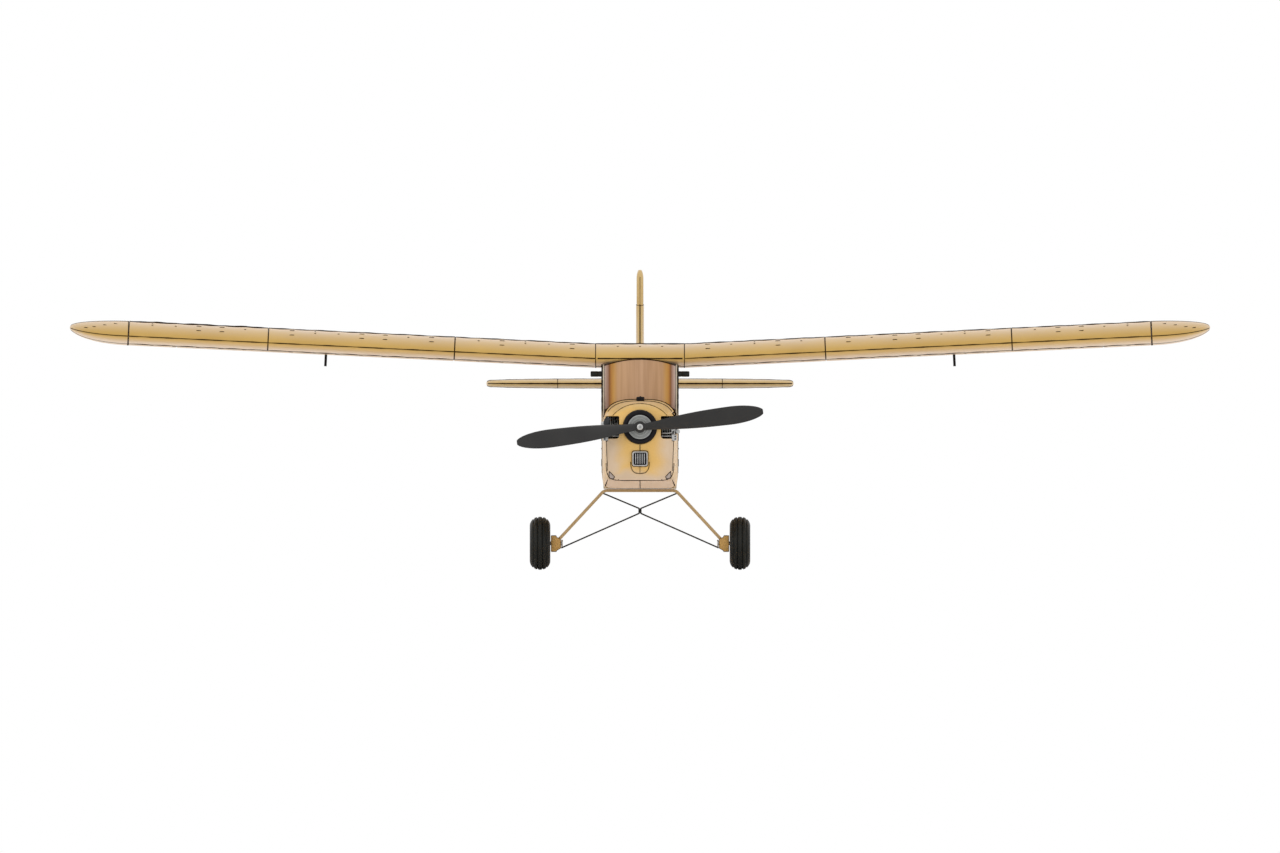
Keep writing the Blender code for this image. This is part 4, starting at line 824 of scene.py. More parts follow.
def make_wing():
    make_wing_centre()
    seams = [span_of(x) for x in SEAMS_X]
    half = GAP / 2
    notch, beyond = AILERON_END + 0.6, inf
    for label, side in SIDES:
        make_wing_panel(f"wing_root_{label}", side, GAP, seams[0] - half, None, 1.1 + side)
        make_wing_panel(f"wing_mid_{label}", side, seams[0] + half, seams[1] - half, beyond, 2.3 + side)
        make_wing_panel(f"wing_outer_{label}", side, seams[1] + half, seams[2] - half, notch, 3.7 + side)
        make_wing_tip(f"wing_tip_{label}", side)
        make_aileron(label, side)
        make_aileron_horn(label, side)
    dress("spar", "wing_spar")


# ---------------------------------------------------------------- fuselage

def belly(station):
    return BELLY_Z + BELLY_RISE * (max(station - BELLY_BREAK, 0.0) / BELLY_LENGTH) ** BELLY_POWER


def side_top(station):
    """The height of the side's upper edge: level under the wing, then down to the tailplane's seat."""
    if station <= CABIN_END:
        under_wing, fall = WING_Z - 5.0, 0.01746
        return under_wing - (station - WING_STATION) * fall
    drop = smooth((station - CABIN_END) / (DECK_BREAK - CABIN_END))
    slope = min(max(station - DECK_BREAK, 0.0) / (DECK_SEAT_END - DECK_BREAK), 1.0)
    return DECK_TOP_Z - (DECK_TOP_Z - DECK_SEAT_Z) * drop - (DECK_SEAT_Z - STAB_SEAT_Z) * slope


def half_width(station):
    return HALF_WIDTH - NARROWING * (max(station - CABIN_END, 0.0) / NARROWING_LENGTH) ** NARROWING_POWER


def windshield_slope(z):
    """The station of the cabin's front edge at a height."""
    return CABIN_START + max(z - SCREEN_FOOT_Z, 0.0) * SCREEN_LEAN


def tucked(above, half=HALF_WIDTH):
    """How far the skin of a side leans in at a height above the belly."""
    return TUCK * half / HALF_WIDTH * smooth(1 - above / TUCK_HEIGHT)


def side_point(side, station, t, out=0.0):
    """A point of a side's skin, from the belly at t = 0 to its top at t = 1."""
    low, high = belly(station), side_top(station)
    half = half_width(station)
    return place(side * (half + out - tucked(t * (high - low), half)), station, low + t * (high - low))


def make_side(label, side):
    side_start, first_bay, bay_length = 92.0, 232.0, 24.0
    rows = steps(0, 1, 16)
    tall = side_top(WING_STATION) - BELLY_Z
    rings = [[]]
    for t in rows:
        z = BELLY_Z + t * tall
        rings[0].append(place(side * (HALF_WIDTH - tucked(t * tall)), windshield_slope(z), z))
    for station in steps(side_start, TAIL_END, 90):
        bay = (station - first_bay) / bay_length
        sag = 0.25 * sin(pi * (bay % 1.0)) ** 2 * smooth((station - first_bay) / 20.0)
        drawn = [sag * smooth(t / 0.1) * smooth((1 - t) / 0.1) for t in rows]
        rings.append([side_point(side, station, t, -d) for t, d in zip(rows, drawn)])
    shape = Shape()
    shape.grid(rings)
    cuts = []
    for start, end in WINDOWS:
        outline = rounded_outline(start, end, WINDOW_LOW, WINDOW_HIGH, WINDOW_CORNER)
        reach = sorted((side * 22.0, side * 40.0))
        cuts.append((CUT, lofted([[place(x, s, z) for s, z in outline] for x in reach])))
    pegs = ((FRONT_DOWEL, DOWEL_Z, 2.5), (REAR_DOWEL, DOWEL_Z, 2.5), (PEG_STATION, PEG_Z, 2.3))
    for station, z, radius in pegs:
        ends = [place(side * x, station, z) for x in (5, 45)]
        cuts.append((CUT, rod_tool(*ends, radius, 24)))
    cuts.append((CUT, box_tool((-60.0, 60.0), (502.5, 530.0), (138.5, 160.0))))
    shape.piece(f"fuselage_side_{label}_cover", ("body",), "fuselage_cover", f"fuselage_side_{label}",
                cuts=cuts, sheet=SIDE_THICKNESS, outward=(side, 0, 0))


def make_stringers(label, side):
    shape = Shape()
    for t in (0.34, 0.67):
        path = [side_point(side, s, t, -0.55) for s in steps(226.0, 514.0, 60)]
        radii = [0.9 * min(1.0, 0.4 + i / 6, 0.4 + (60 - i) / 6) for i in range(61)]
        shape.tube(path, radii, sides=10)
    for t, start, sink in ((0.0, 84.0, 0.75), (1.0, 95.0, -0.75)):
        path = [side_point(side, s, t, -0.75) + Vector((0, 0, sink * MM)) for s in steps(start, 498.0, 80)]
        shape.tube(path, 1.0, sides=12)
    shape.piece(f"fuselage_stringers_{label}", ("body",), "fuselage_cover")


def make_window_frames(label, side):
    frames = Shape()
    section = ((-1.4, 0), (0.3, 0), (0.5, 0.25), (0.5, 0.75), (0.3, 1), (-1.4, 1))
    for start, end in WINDOWS:
        outer = rounded_outline(start - 1.6, end + 1.6, WINDOW_LOW - 1.6, WINDOW_HIGH + 1.6, 6.4)
        inner = rounded_outline(start - 0.1, end + 0.1, WINDOW_LOW - 0.1, WINDOW_HIGH + 0.1, WINDOW_CORNER)
        rings = []
        for (a, b), (c, d) in zip(outer, inner):
            rings.append([place(side * (HALF_WIDTH + x), a + (c - a) * t, b + (d - b) * t)
                          for x, t in section])
        frames.loft(rings, hoop=True)
    frames.piece(f"window_frames_{label}", ("gear",), "fuselage_cover")


def make_door(label, side):
    """The door's outline, its two hinges and its handle."""
    door = ((157.0, 76.0), (157.0, 112.2), (154.6, 112.2), (103.6, 112.2), (103.6, 76.0))
    lines = Shape()
    lines.hoop([place(side * (HALF_WIDTH + 0.02), s, z) for s, z in drawn_round(door, 12)], 0.28)
    hinge, handle, handle_z = 103.6, (154.0, 147.5), 95.0
    for z in (84.0, 104.0):
        path = [place(side * HALF_WIDTH, hinge, z + d) for d in (-2.6, 2.6)]
        lines.tube(path, 0.6, sides=12, rounded=True)
    lines.tube([place(side * HALF_WIDTH, s, handle_z) for s in handle], 0.7, sides=12, rounded=True)
    lines.piece(f"door_lines_{label}", ("edge",), "fuselage_cover")


def make_cabin_edge(label, side):
    """The dark binding beside the windshield, and the pale tape down the whole front edge."""
    heights = steps(119.0, CABIN_TOP + 0.1, 32)
    path = [place(side * (HALF_WIDTH - 0.05), windshield_slope(z) - 0.3, z) for z in heights]
    radii = [(0.62 + 0.1 * wander(i * 0.7, side)) * smooth((i + 1) / 8) for i in range(len(path))]
    binding, tape = Shape(), Shape()
    binding.tube(path, radii, sides=8)
    binding.piece(f"cabin_edge_binding_{label}", ("edge",), "fuselage_cover")
    section = ((-1.7, 1.2), (-1.7, 0.15), (-1.5, 0.0), (-0.1, 0.0), (0.1, 0.15), (0.1, 1.2))
    rings = []
    for rise in steps(0.0, CABIN_TOP - BELLY_Z, 48):
        z = BELLY_Z + 0.1 + rise
        half, front = HALF_WIDTH - tucked(z - BELLY_Z), windshield_slope(z) - 0.15
        rings.append([place(side * (half + x), front + s, z) for x, s in section])
    tape.loft(rings)
    tape.piece(f"cabin_edge_tape_{label}", ("tape",), "fuselage_cover")


def make_belly():
    rings = []
    for station in steps(CABIN_START, 512.0, 80):
        half = half_width(station) - SIDE_THICKNESS - GAP
        rings.append([place(x, station, belly(station)) for x in steps(-half, half, 12)])
    shape = Shape()
    shape.grid(rings)
    shape.piece("belly_cover", ("body",), "fuselage_cover", "belly_panel", sheet=SIDE_THICKNESS,
                outward=(0, 0, -1))


def deck_height(station):
    """How far the decking rises above the sides."""
    front, tallest, rear = 2.0, 7.5, 4.5
    if station < DECK_BREAK:
        return front + (tallest - front) * (station - CABIN_END) / (DECK_BREAK - CABIN_END)
    return tallest - (tallest - rear) * (station - DECK_BREAK) / (DECK_SEAT_END - DECK_BREAK)


def make_turtle_deck():
    """The decking aft of the wing, with film drawn flat between its stringers, and the block that ends it."""
    thickness, bays, last = 1.0, 6, 36
    shape, rings = Shape(), []
    for station in steps(CABIN_END + 1.6, DECK_END, 56):
        ring = []
        for inset, order in ((0.0, range(last + 1)), (thickness, reversed(range(last + 1)))):
            for i in order:
                turn = pi * i / last
                film_free = inset == 0.0 and 0 < i < last
                drawn = inset + (0.35 * abs(sin(bays * turn)) if film_free else 0.0)
                z = side_top(station) + GAP + (deck_height(station) - drawn) * sin(turn)
                ring.append(place((half_width(station) - drawn) * cos(turn), station, z))
        rings.append(ring)
    shape.loft(rings)
    shape.piece("turtle_deck_cover", ("body",), "fuselage_cover", "turtle_deck", sharp=30)
    block, rings = Shape(), []
    for t in steps(0, 1, 8):
        station = DECK_END + 0.1 + 8.1 * t
        high = deck_height(DECK_END) * (1 - 0.12 * t ** 2)
        half = half_width(station) - 0.4 * t ** 2
        arch = [(half * cos(a), high * sin(a)) for a in steps(0.0, pi, 24)]
        rings.append([place(x, station, side_top(station) + GAP + z) for x, z in arch])
    block.loft(rings)
    block.piece("turtle_deck_end", ("body",), "fuselage_cover", sharp=30)


def make_windshield():
    half = 27.8
    rings = []
    for v in steps(0, 1, 24):
        ring = []
        for u in steps(-1, 1, 60):
            low = (66.9 + 1.4 * u * u, 133.7 - 8.0 * u * u)
            high = (86.4 + 1.8 * u * u, 165.1 - 4.9 * u * u)
            station = low[0] + (high[0] - low[0]) * v - 1.2 * sin(pi * v)
            ring.append(place(half * u, station, low[1] + (high[1] - low[1]) * v))
        rings.append(ring)
    shape = Shape()
    shape.grid(rings)
    shape.piece("windshield_sheet", ("glass",), "tinted_sheet", "windshield", sheet=0.6, outward=FORWARD)
    line = Shape()
    line.tube([point + Vector((0.0, -0.1, 0.1)) * MM for point in rings[-1]], 0.4, sides=8)
    line.piece("windshield_top_line", ("seam",), "fuselage_cover")


def make_dowels():
    profile = mirrored([(0.0, 38.8), (1.5, 38.8), (1.95, 38.62), (2.15, 38.3), (2.2, 37.8), (2.2, 33.0),
                        (2.06, 32.7), (2.06, 32.3), (2.2, 32.0)])
    for name, station in (("wing_peg_front", FRONT_DOWEL), ("wing_peg_rear", REAR_DOWEL)):
        shape = Shape()
        shape.turned(profile, place(0, station, DOWEL_Z), ACROSS, sides=40)
        shape.piece(f"{name}_dowel", ("dowel",), "dowel_black", name)
    half, bore = half_width(PEG_STATION) + 3.0, 1.45
    shape = Shape()
    profile = mirrored([(bore, half), (1.85, half), (2.0, half - 0.2)])
    shape.turned(profile, place(0, PEG_STATION, PEG_Z), ACROSS, sides=32)
    shape.piece("rear_motor_peg_tube", ("bright",), "peg_tube", "rear_motor_peg")


MOTOR_LOOPS, MOTOR_TURNS, STRIP_RADIUS = 4, 6.25, 0.72
HOOK_SIZE, HOOK_SPACING, PEG_SIZE, PEG_SPACING = 1.75, 1.25, 2.7, 1.5


def motor_side(angle_offset, start_angle, order, rise):
    """One half of a loop, from the hook to the peg: parallel at its ends and wound between them."""
    start, end = place(0, HOOK_STATION, THRUST_Z), place(0, PEG_STATION, PEG_Z)
    path = []
    for t in steps(0, 1, 220):
        wound = smooth(t / 0.07) * smooth((1 - t) / 0.07)
        angle = 2 * pi * MOTOR_TURNS * t + start_angle * wound + angle_offset
        size = HOOK_SIZE + 1.15 * wound
        x, z = size * cos(angle), size * sin(angle)
        if t < 0.5:
            z += order * HOOK_SPACING * (1 - wound)
        else:
            x += order * PEG_SPACING * (1 - wound)
        z += rise * smooth((t - 0.94) / 0.06)
        path.append(start.lerp(end, t) + Vector((x, 0, z)) * MM)
    return path


def make_rubber_motor():
    """Loops of strip, wound together, from the propeller's hook to the rear peg."""
    shape = Shape()
    for j in range(MOTOR_LOOPS):
        order = j - (MOTOR_LOOPS - 1) / 2
        out, back = [motor_side(offset, radians(45 * j), order, rise)
                     for offset, rise in ((0.0, 0.95), (pi, -0.95))]
        turns = steps(0.0, pi, 8)[1:-1]
        rear = [place(order * PEG_SPACING, PEG_STATION + PEG_SIZE * sin(a),
                      PEG_Z + PEG_SIZE * cos(a)) for a in turns]
        front = [place(-HOOK_SIZE * cos(a), HOOK_STATION - HOOK_SIZE * sin(a),
                       THRUST_Z + order * HOOK_SPACING) for a in turns]
        shape.hoop(out + rear + back[::-1] + front, STRIP_RADIUS, sides=8)
    made = shape.piece("rubber_motor_skein", ("rubber",), "motor_rubber", "rubber_motor", body=None)
    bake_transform(made)


def make_fuselage():
    for label, side in SIDES:
        make_side(label, side)
        make_stringers(label, side)
        make_window_frames(label, side)
        make_door(label, side)
        make_cabin_edge(label, side)
        dress("pane", f"side_window_{label}")
    make_belly()
    make_turtle_deck()
    make_windshield()
    make_dowels()
    make_rubber_motor()
    dress("wood", "firewall", "cabin_former", "tail_former")


# ---------------------------------------------------------------- cowl

# half width, top, bottom, power of the arch, power of the box below, height of the widest point, station
COWL_KEYS = (
    (12.6, 124.6, 99.4, 2.0, 2.0, THRUST_Z, COWL_FRONT - 0.1),
    (17.5, 126.6, 90.0, 2.0, 2.6, 110.0, COWL_FRONT + 0.5),
    (23.0, 128.6, 78.0, 2.0, 4.5, 107.5, COWL_FRONT + 2.4),
    (26.7, 130.3, 70.1, 2.1, 8.0, COWL_WIDEST_Z, COWL_FACE),
    (27.5, 131.0, 67.0, 2.5, 8.5, COWL_WIDEST_Z, 24.0),
    (28.3, 131.6, BELLY_Z + 0.2, 2.8, 15.0, COWL_WIDEST_Z, COWL_CHIN),
    (29.4, 133.4, BELLY_Z + 0.2, 3.3, 15.0, COWL_WIDEST_Z, COWL_REAR),
)
COWL_RINGS = (0.0, 0.12, 0.3, 0.5, 0.75, 1.0, 1.2, 1.4, 1.6, 1.8, 2.0, 2.2, 2.4, 2.6, 2.8, 2.92, 3.0, 3.3,
              3.6, 4.0, 4.4, 4.8, 5.0, 5.2, 5.4, 5.6, 5.8, 6.0)
EASED_KEYS = 3


def cowl_key(t):
    """The cowl's outline at t, from 0 in front to 6 at the rear: eased up to its face, straight behind it."""
    i = min(int(t), len(COWL_KEYS) - 2)
    f = t - i
    key = []
    for values in zip(*[COWL_KEYS[min(max(i + d, 0), len(COWL_KEYS) - 1)] for d in (-1, 0, 1, 2)]):
        before, low, high, after = values
        if i >= EASED_KEYS:
            key.append(low + (high - low) * f)
            continue
        slope_in = (high - before) / 2
        slope_out = high - low if i == EASED_KEYS - 1 else (after - low) / 2
        key.append((2 * f ** 3 - 3 * f ** 2 + 1) * low + (f ** 3 - 2 * f ** 2 + f) * slope_in
                   + (3 * f ** 2 - 2 * f ** 3) * high + (f ** 3 - f ** 2) * slope_out)
    return key


def cowl_point(t, turn, grow=0.0):
    """A point of the cowl's skin, or of a ring a little larger."""
    half, top, bottom, upper, lower, centre, station = cowl_key(t)
    c, s = cos(turn), sin(turn)
    power, reach = (upper, top - centre) if s > 0 else (lower, centre - bottom)
    x = bulged(c, 2 / power) * (half + grow)
    return place(x, station, centre + bulged(s, 2 / power) * (reach + grow))


def cowl_station(x, z):
    """Where the cowl's skin is behind a point of the front view."""
    low, high = 0.0, 6.0
    for _ in range(40):
        middle = (low + high) / 2
        half, top, bottom, upper, lower, centre, _ = cowl_key(middle)
        power, reach = (upper, top - centre) if z > centre else (lower, centre - bottom)
        if (abs(x) / half) ** power + (abs(z - centre) / reach) ** power <= 1:
            high = middle
        else:
            low = middle
    return cowl_key(high)[6]


def on_cowl(x, z, proud=0.0):
    return place(x, cowl_station(x, z) - proud, z)


def make_cowl():
    shape = Shape()
    count = 160
    shape.loft([[cowl_point(t, 2 * pi * (i + 0.5) / count) for i in range(count)] for t in COWL_RINGS],
               caps=False)
    cuts = [(CUT, rod_tool(place(0, 0, THRUST_Z), place(0, 30, THRUST_Z), RING_RADIUS + GAP, 96))]
    bay = [(BAY_OUTSIDE, BAY_HIGH), (BAY_X + 0.7, BAY_HIGH), (BAY_X, BAY_HIGH - 0.7),
           (BAY_X, BAY_LOW + BAY_CORNER)]
    for turn in steps(0.0, pi / 2, 6)[1:]:
        bay.append((BAY_X + BAY_CORNER - BAY_CORNER * cos(turn),
                    BAY_LOW + BAY_CORNER - BAY_CORNER * sin(turn)))
    bay.append((BAY_OUTSIDE, BAY_LOW))
    for side in (-1, 1):
        cuts.append((CUT, slab_tool(bay, (4.0, 48.0), side)))
        cuts.append((CUT, box_tool((side * 24.9, side * BAY_OUTSIDE), (4.0, 21.0), (100.8, 104.0))))
    shape.piece("cowl_shell", ("cowl",), "cowl_shell", "cowl", cuts=cuts, sheet=1.2, sharp=40)


def make_cowl_lines():
    """The seams of the cowl: round its face, over its top, at its chin's corners and down its middle."""
    shape = Shape()

    def arc(t, start, end, radius=0.30, grow=0.0, count=60):
        path = [cowl_point(t, radians(a), grow) for a in steps(start, end, count)]
        shape.tube(path, [radius * (1 + 0.25 * wander(i * 0.37, t)) for i in range(count + 1)])

    face, chin = 3.0, 5.0
    arc(face, 38.0, 142.0)
    arc(face, 188.0, 352.0, count=120)
    arc(5.35, 36.0, 144.0, 0.34, 0.18)
    arc(5.98, 20.0, 160.0, 0.42, 0.22)
    for side in (-1, 1):
        corner = [on_cowl(side * (25.4 + 1.8 * t), 70.6 - 4.6 * t, 0.1) for t in steps(0, 1, 14)]
        shape.tube(corner, steps(0.24, 0.52, 14))
        flank = [on_cowl(side * (26.45 - t), 101.2 - 23.5 * t, 0.12) for t in steps(0, 1, 10)]
        shape.tube(flank, [0.22 + 0.06 * wander(i, side) for i in range(11)])
    shape.tube([on_cowl(0.0, z, 0.05) for z in steps(98.2, 93.4, 12)], 0.32)
    shape.tube([cowl_point(t, -pi / 2, 0.05) for t in steps(face, chin, 10)], 0.30)
    arc(chin, 228.0, 312.0, 0.24)
    for side in (-1, 1):
        shape.ball(on_cowl(side * 17.0, 70.6), 0.42, (0, 1, 0))
        shape.ball(place(side * 16.2, 40.0, 127.4), 0.45)
    shape.piece("cowl_seams", ("seam",), "cowl_shell")


def make_outlets():
    """The lozenge-shaped outlet at each lower corner, and the small filler ring beside the cylinder."""
    corners = ((24.1, 77.2), (22.0, 75.1), (20.0, 72.9), (20.9, 71.3), (22.6, 71.5), (24.2, 71.9),
               (24.3, 74.5))
    plate, rim = Shape(), Shape()
    for side in (1, -1):
        plate.loft([[on_cowl(side * x, z, proud) for x, z in corners] for proud in (0.25, -0.6)])
        rim.hoop([on_cowl(side * x, z, 0.2) for x, z in drawn_round(corners, 4)], 0.30)
    plate.piece("cowl_outlets", ("outlet",), "cowl_shell")
    filler = ((1.0, -1.0), (1.7, -1.0), (1.7, 0.4), (1.4, 0.7), (1.0, 0.4))
    rim.turned(filler, place(27.0, cowl_key(5.2)[6], 122.4), (0.55, -0.75, 0.45), sides=32)
    rim.piece("cowl_outlet_rims", ("seam",), "cowl_shell")


def make_scoop():
    """The shallow scoop whose rounded lip shows below the grille, and the seam below it."""
    centre_z, half, above, below = 84.6, 7.3, 8.0, 9.1

    def scoop_station(x, z):
        return cowl_station(min(abs(x), 7.0), max(z, 76.0))

    rings = []
    for v in steps(0, 1, 12):
        grow = sqrt(1 - (0.999 * v) ** 2)
        ring = []
        for turn in circle(40):
            c, s = cos(turn), sin(turn)
            x = half * bulged(c, 0.7) * (0.55 + 0.45 * grow)
            reach = below * bulged(s, 0.8) if s < 0 else above * bulged(s, 0.5)
            z = centre_z + reach * (0.6 + 0.4 * grow)
            ring.append(place(x, scoop_station(x, z) + 0.8 - 2.0 * v, z))
        rings.append(ring)
    shape = lofted(rings)
    shape.piece("cowl_scoop", ("cowl",), "cowl_shell", sharp=60)
    path = []
    for turn in steps(pi, 2 * pi, 32):
        x = (half + 0.05) * bulged(cos(turn), 0.7)
        z = centre_z + (below + 0.05) * bulged(sin(turn), 0.8)
        path.append(place(x, scoop_station(x, z) - 0.05, z))
    line = Shape()
    line.tube(path, 0.27)
    line.tube([place(0.0, 7.9 + 0.96 * t, 81.0 - 4.96 * t) for t in steps(0, 1, 8)], 0.22)
    line.piece("cowl_scoop_line", ("seam",), "cowl_shell")


def make_grille():
    """The intake's frame with upright bars, and the dark plates behind it."""
    low, high, half, front, rear = 81.2, 93.0, 6.15, 6.7, 9.1
    shape = Shape()
    outer = rounded_outline(-half, half, low, high, 1.9)
    inner = rounded_outline(-half + 1.25, half - 1.25, low + 1.25, high - 1.25, 0.9)
    section = ((rear, 0), (front + 0.6, 0), (front, 1 / 4), (front, 2 / 3), (front + 0.5, 1), (rear, 1))
    rings = []
    for (a, b), (c, d) in zip(outer, inner):
        rings.append([place(a + (c - a) * t, station, b + (d - b) * t) for station, t in section])
    shape.loft(rings, hoop=True)
    for x in steps(-3.4, 3.4, 4):
        bar = [place(x, 7.5, low + 1.9), place(x, 7.3, (low + high) / 2), place(x, 7.5, high - 1.9)]
        shape.tube(bar, (0.30, 0.36, 0.30), sides=10, rounded=True)
    shape.piece("intake_grille_frame", ("bright",), "bright_metal", "intake_grille")
    back = Shape()
    back.slab(rounded_outline(-half + 0.7, half - 0.7, low + 0.7, high - 0.7, 1.0), (7.9, 9.05))
    back.slab(rounded_outline(-half - 0.5, half + 0.5, low - 0.4, high + 0.6, 2.2), (8.4, 9.3))
    back.piece("intake_grille_back", ("ring",), "black_plastic")


def make_fuel_cap():
    """The cap, with a milled edge and a vent pin."""
    shape = Shape()
    profile = ((0.0, 2.5), (2.5, 2.5), (2.9, 2.35), (3.1, 2.0), (3.1, 0.9), (2.7, 0.75), (2.7, 0.3),
               (3.2, 0.15), (3.2, -0.8), (0.0, -0.8))
    shape.turned(profile, place(CAP_X, CAP_STATION, 133.2), UP, sides=48)
    for turn in circle(18):
        x, station = CAP_X + 3.08 * cos(turn), CAP_STATION + 3.08 * sin(turn)
        shape.tube([place(x, station, z) for z in (134.2, 135.1)], 0.22)
    shape.tube([place(CAP_X, CAP_STATION, z) for z in (135.4, 135.75)], 0.9, sides=16, rounded=True)
    shape.piece("fuel_cap_turned", ("ring",), "black_plastic", "fuel_cap")


def make_nose():
    """The ring in the cowl's face with its beads, and the removable plug with its ticks."""
    centre = place(0, 0, THRUST_Z)
    ring = Shape()
    profile = ((12.0, -6.3), (12.9, -6.6), (13.25, -7.3), (13.3, -8.2), (13.3, -24.0), (8.8, -24.0),
               (8.8, -10.3), (9.75, -10.3), (9.75, -7.0), (10.0, -6.6), (10.5, -6.35), (11.2, -6.25))
    ring.turned(profile, centre, FORWARD, sides=96)
    beads, bead_radius = 24, 13.1
    for i in range(beads):
        turn = 2 * pi * (i + 0.5) / beads
        x, z = bead_radius * cos(turn), THRUST_Z + bead_radius * sin(turn)
        ring.tube([place(x, station, z) for station in (7.2, 8.6)], 0.32, rounded=True)
    ring.piece("nose_ring_moulded", ("ring",), "black_plastic", "nose_ring")
    plug = Shape()
    profile = ((9.0, -6.6), (9.35, -6.7), (9.6, -7.0), (9.6, -10.0), (8.5, -10.0), (8.5, -30.0), (2.3, -30.0),
               (2.3, -6.9), (3.7, -6.9), (3.9, -6.6), (4.7, -6.6), (4.85, -6.95), (6.2, -6.95), (6.35, -6.6),
               (6.9, -6.6), (7.05, -6.95), (8.5, -6.95), (8.65, -6.6))
    plug.turned(profile, centre, FORWARD, sides=96)
    for inner, outer, count in ((4.9, 6.15, 36), (7.1, 8.45, 54)):
        for turn in circle(count):
            tick = [place(r * cos(turn), 6.95, THRUST_Z + r * sin(turn)) for r in (inner, outer)]
            plug.tube(tick, 0.20, 1, sides=4)
    plug.piece("nose_plug_turned", ("plug", "tick"), "plug_grey", "nose_plug")
    dress("brass", "thrust_bearing")


def make_cylinder(label, side):
    """A cylinder across the bay with bright rims on its fins, its rocker cover and its foot."""
    origin, axis = place(0, 30.0, (BAY_LOW + BAY_HIGH) / 2), (side, 0, 0)
    fins, pitch, root, fin_radius, rim_radius = 6, 1.75, 6.2, 8.3, 8.45
    profile = [(0.0, 29.2), (3.9, 29.2), (4.8, 28.9), (5.3, 28.2), (5.4, 27.4), (5.4, 25.8)]
    for i in range(fins):
        outer = 25.3 - i * pitch
        profile += [(root, outer), (8.1, outer - 0.12), (fin_radius, outer - 0.32), (fin_radius, outer - 0.6),
                    (8.1, outer - 0.8), (root, outer - 0.95)]
    profile += [(root, 13.8), (0.0, 13.8)]
    shape = Shape()
    shape.turned(profile, origin, axis, sides=72)
    for i in range(fins):
        rim = 24.83 - i * pitch
        band = ((8.1, rim + 0.3), (rim_radius, rim + 0.26), (rim_radius, rim - 0.26), (8.1, rim - 0.3))
        shape.turned(band, origin, axis, 1, 72)
    cover = rounded_outline(24.3, 28.6, 113.4, 119.4, 1.3, 4)
    shape.slab([(x - max(z - 117.0, 0.0) * 0.5, z) for x, z in cover], (15.6, 19.8), side)
    shape.slab(rounded_outline(16.6, 26.8, BAY_LOW + 0.2, BAY_HIGH - 0.2, 1.0), (41.0, 44.0), side)
    shape.piece(f"engine_cylinder_{label}_finned", ("cylinder", "plug"), "cylinder_black",
                f"engine_cylinder_{label}")


def bent(points):
    """The path of a bent tube through corner points, with each corner rounded."""
    run = [points[0]]
    for (ax, az), (x, z), (bx, bz) in zip(points, points[1:], points[2:]):
        run.append(((x * 3 + ax) / 4, (z * 3 + az) / 4))
        run.append((x * 0.8 + (ax + bx) * 0.1, z * 0.8 + (az + bz) * 0.1))
        run.append(((x * 3 + bx) / 4, (z * 3 + bz) / 4))
    return run + [points[-1]]


def make_pushrods(label, side):
    """The bright tubes in front of a cylinder, their boxes, the knob on its stalk, and the flange's bolts."""
    metal = Shape()
    for corners in (((17.3, 107.1), (23.4, 107.1), (24.8, 107.9), (25.4, 109.5), (25.4, 112.0)),
                    ((16.8, 104.7), (24.6, 104.7), (26.2, 105.4), (26.9, 107.0), (26.9, 112.0))):
        metal.tube([place(side * x, 19.0, z) for x, z in bent(corners)], 0.55, sides=14, rounded=True)
    metal.slab(rounded_outline(24.4, 28.0, 109.0, 114.4, 0.8, 3), (17.0, 20.6), side)
    metal.slab(rounded_outline(25.0, 28.9, 101.3, 105.9, 0.6, 3), (17.4, 20.2), side)
    knob_x, knob_z = (29.5, 108.4) if side > 0 else (28.9, 114.6)
    knob = ((0.0, 1.3), (1.2, 1.3), (1.7, 0.9), (1.85, 0.2), (1.5, -0.3), (1.5, -1.2), (0.0, -1.2))
    metal.turned(knob, place(side * knob_x, 18.6, knob_z), FORWARD, sides=32)
    metal.tube([place(side * x, 18.8, knob_z) for x in (26.5, knob_x)], 0.7, sides=12)
    metal.piece(f"pushrod_tubes_{label}_bright", ("bright",), "bright_metal", f"pushrod_tubes_{label}")
    bolts = Shape()
    bolt = ((0.0, 0.5), (0.5, 0.5), (0.6, 0.3), (0.6, -0.2), (0.0, -0.2))
    for z in (102.6, 104.6):
        bolts.turned(bolt, place(side * 27.6, 17.3, z), FORWARD, sides=16)
    bolts.piece(f"flange_bolts_{label}", ("ring",), "black_plastic")


def make_cowl_group():
    make_cowl()
    make_cowl_lines()
    make_outlets()
    make_scoop()
    make_grille()
    make_fuel_cap()
    make_nose()
    for label, side in SIDES:
        make_cylinder(label, side)
        make_pushrods(label, side)


# ---------------------------------------------------------------- tail

def tail_reach(x):
    """The tailplane's length across the span, as a part of its length at the root."""
    return (1 - min(abs(x) / STAB_HALF_SPAN, 1.0) ** STAB_POWER) ** (1 / STAB_POWER)


def tail_lead(x):
    return ELEVATOR_HINGE - STAB_ROOT * tail_reach(x)


def tail_half(x):
    """Half the tailplane's thickness, rounded off over its last few millimetres."""
    rounded = 4.0
    end = min(max(abs(x) - STAB_HALF_SPAN + rounded, 0.0) / rounded, 0.97)
    return STAB_THICKNESS / 2 * (1 - 0.35 * (abs(x) / STAB_HALF_SPAN) ** 4) * sqrt(1 - end * end)


TAIL_SPOTS = [120.4 * sin(pi / 2 * i / 54) for i in range(-54, 55)]


def tail_sag(x):
    """How far the film sinks between the tail's ribs."""
    return 0.22 * sin(pi * abs(x) / TAIL_RIB_PITCH) ** 2


def nose_height(u):
    """The height of a tail section at a part u of its length, for a half thickness of 1."""
    return sqrt(max(1 - (1 - min(u / 0.30, 1.0)) ** 2, 0.0)) * (1.0 - 0.08 * max(u - 0.5, 0.0) / 0.5)


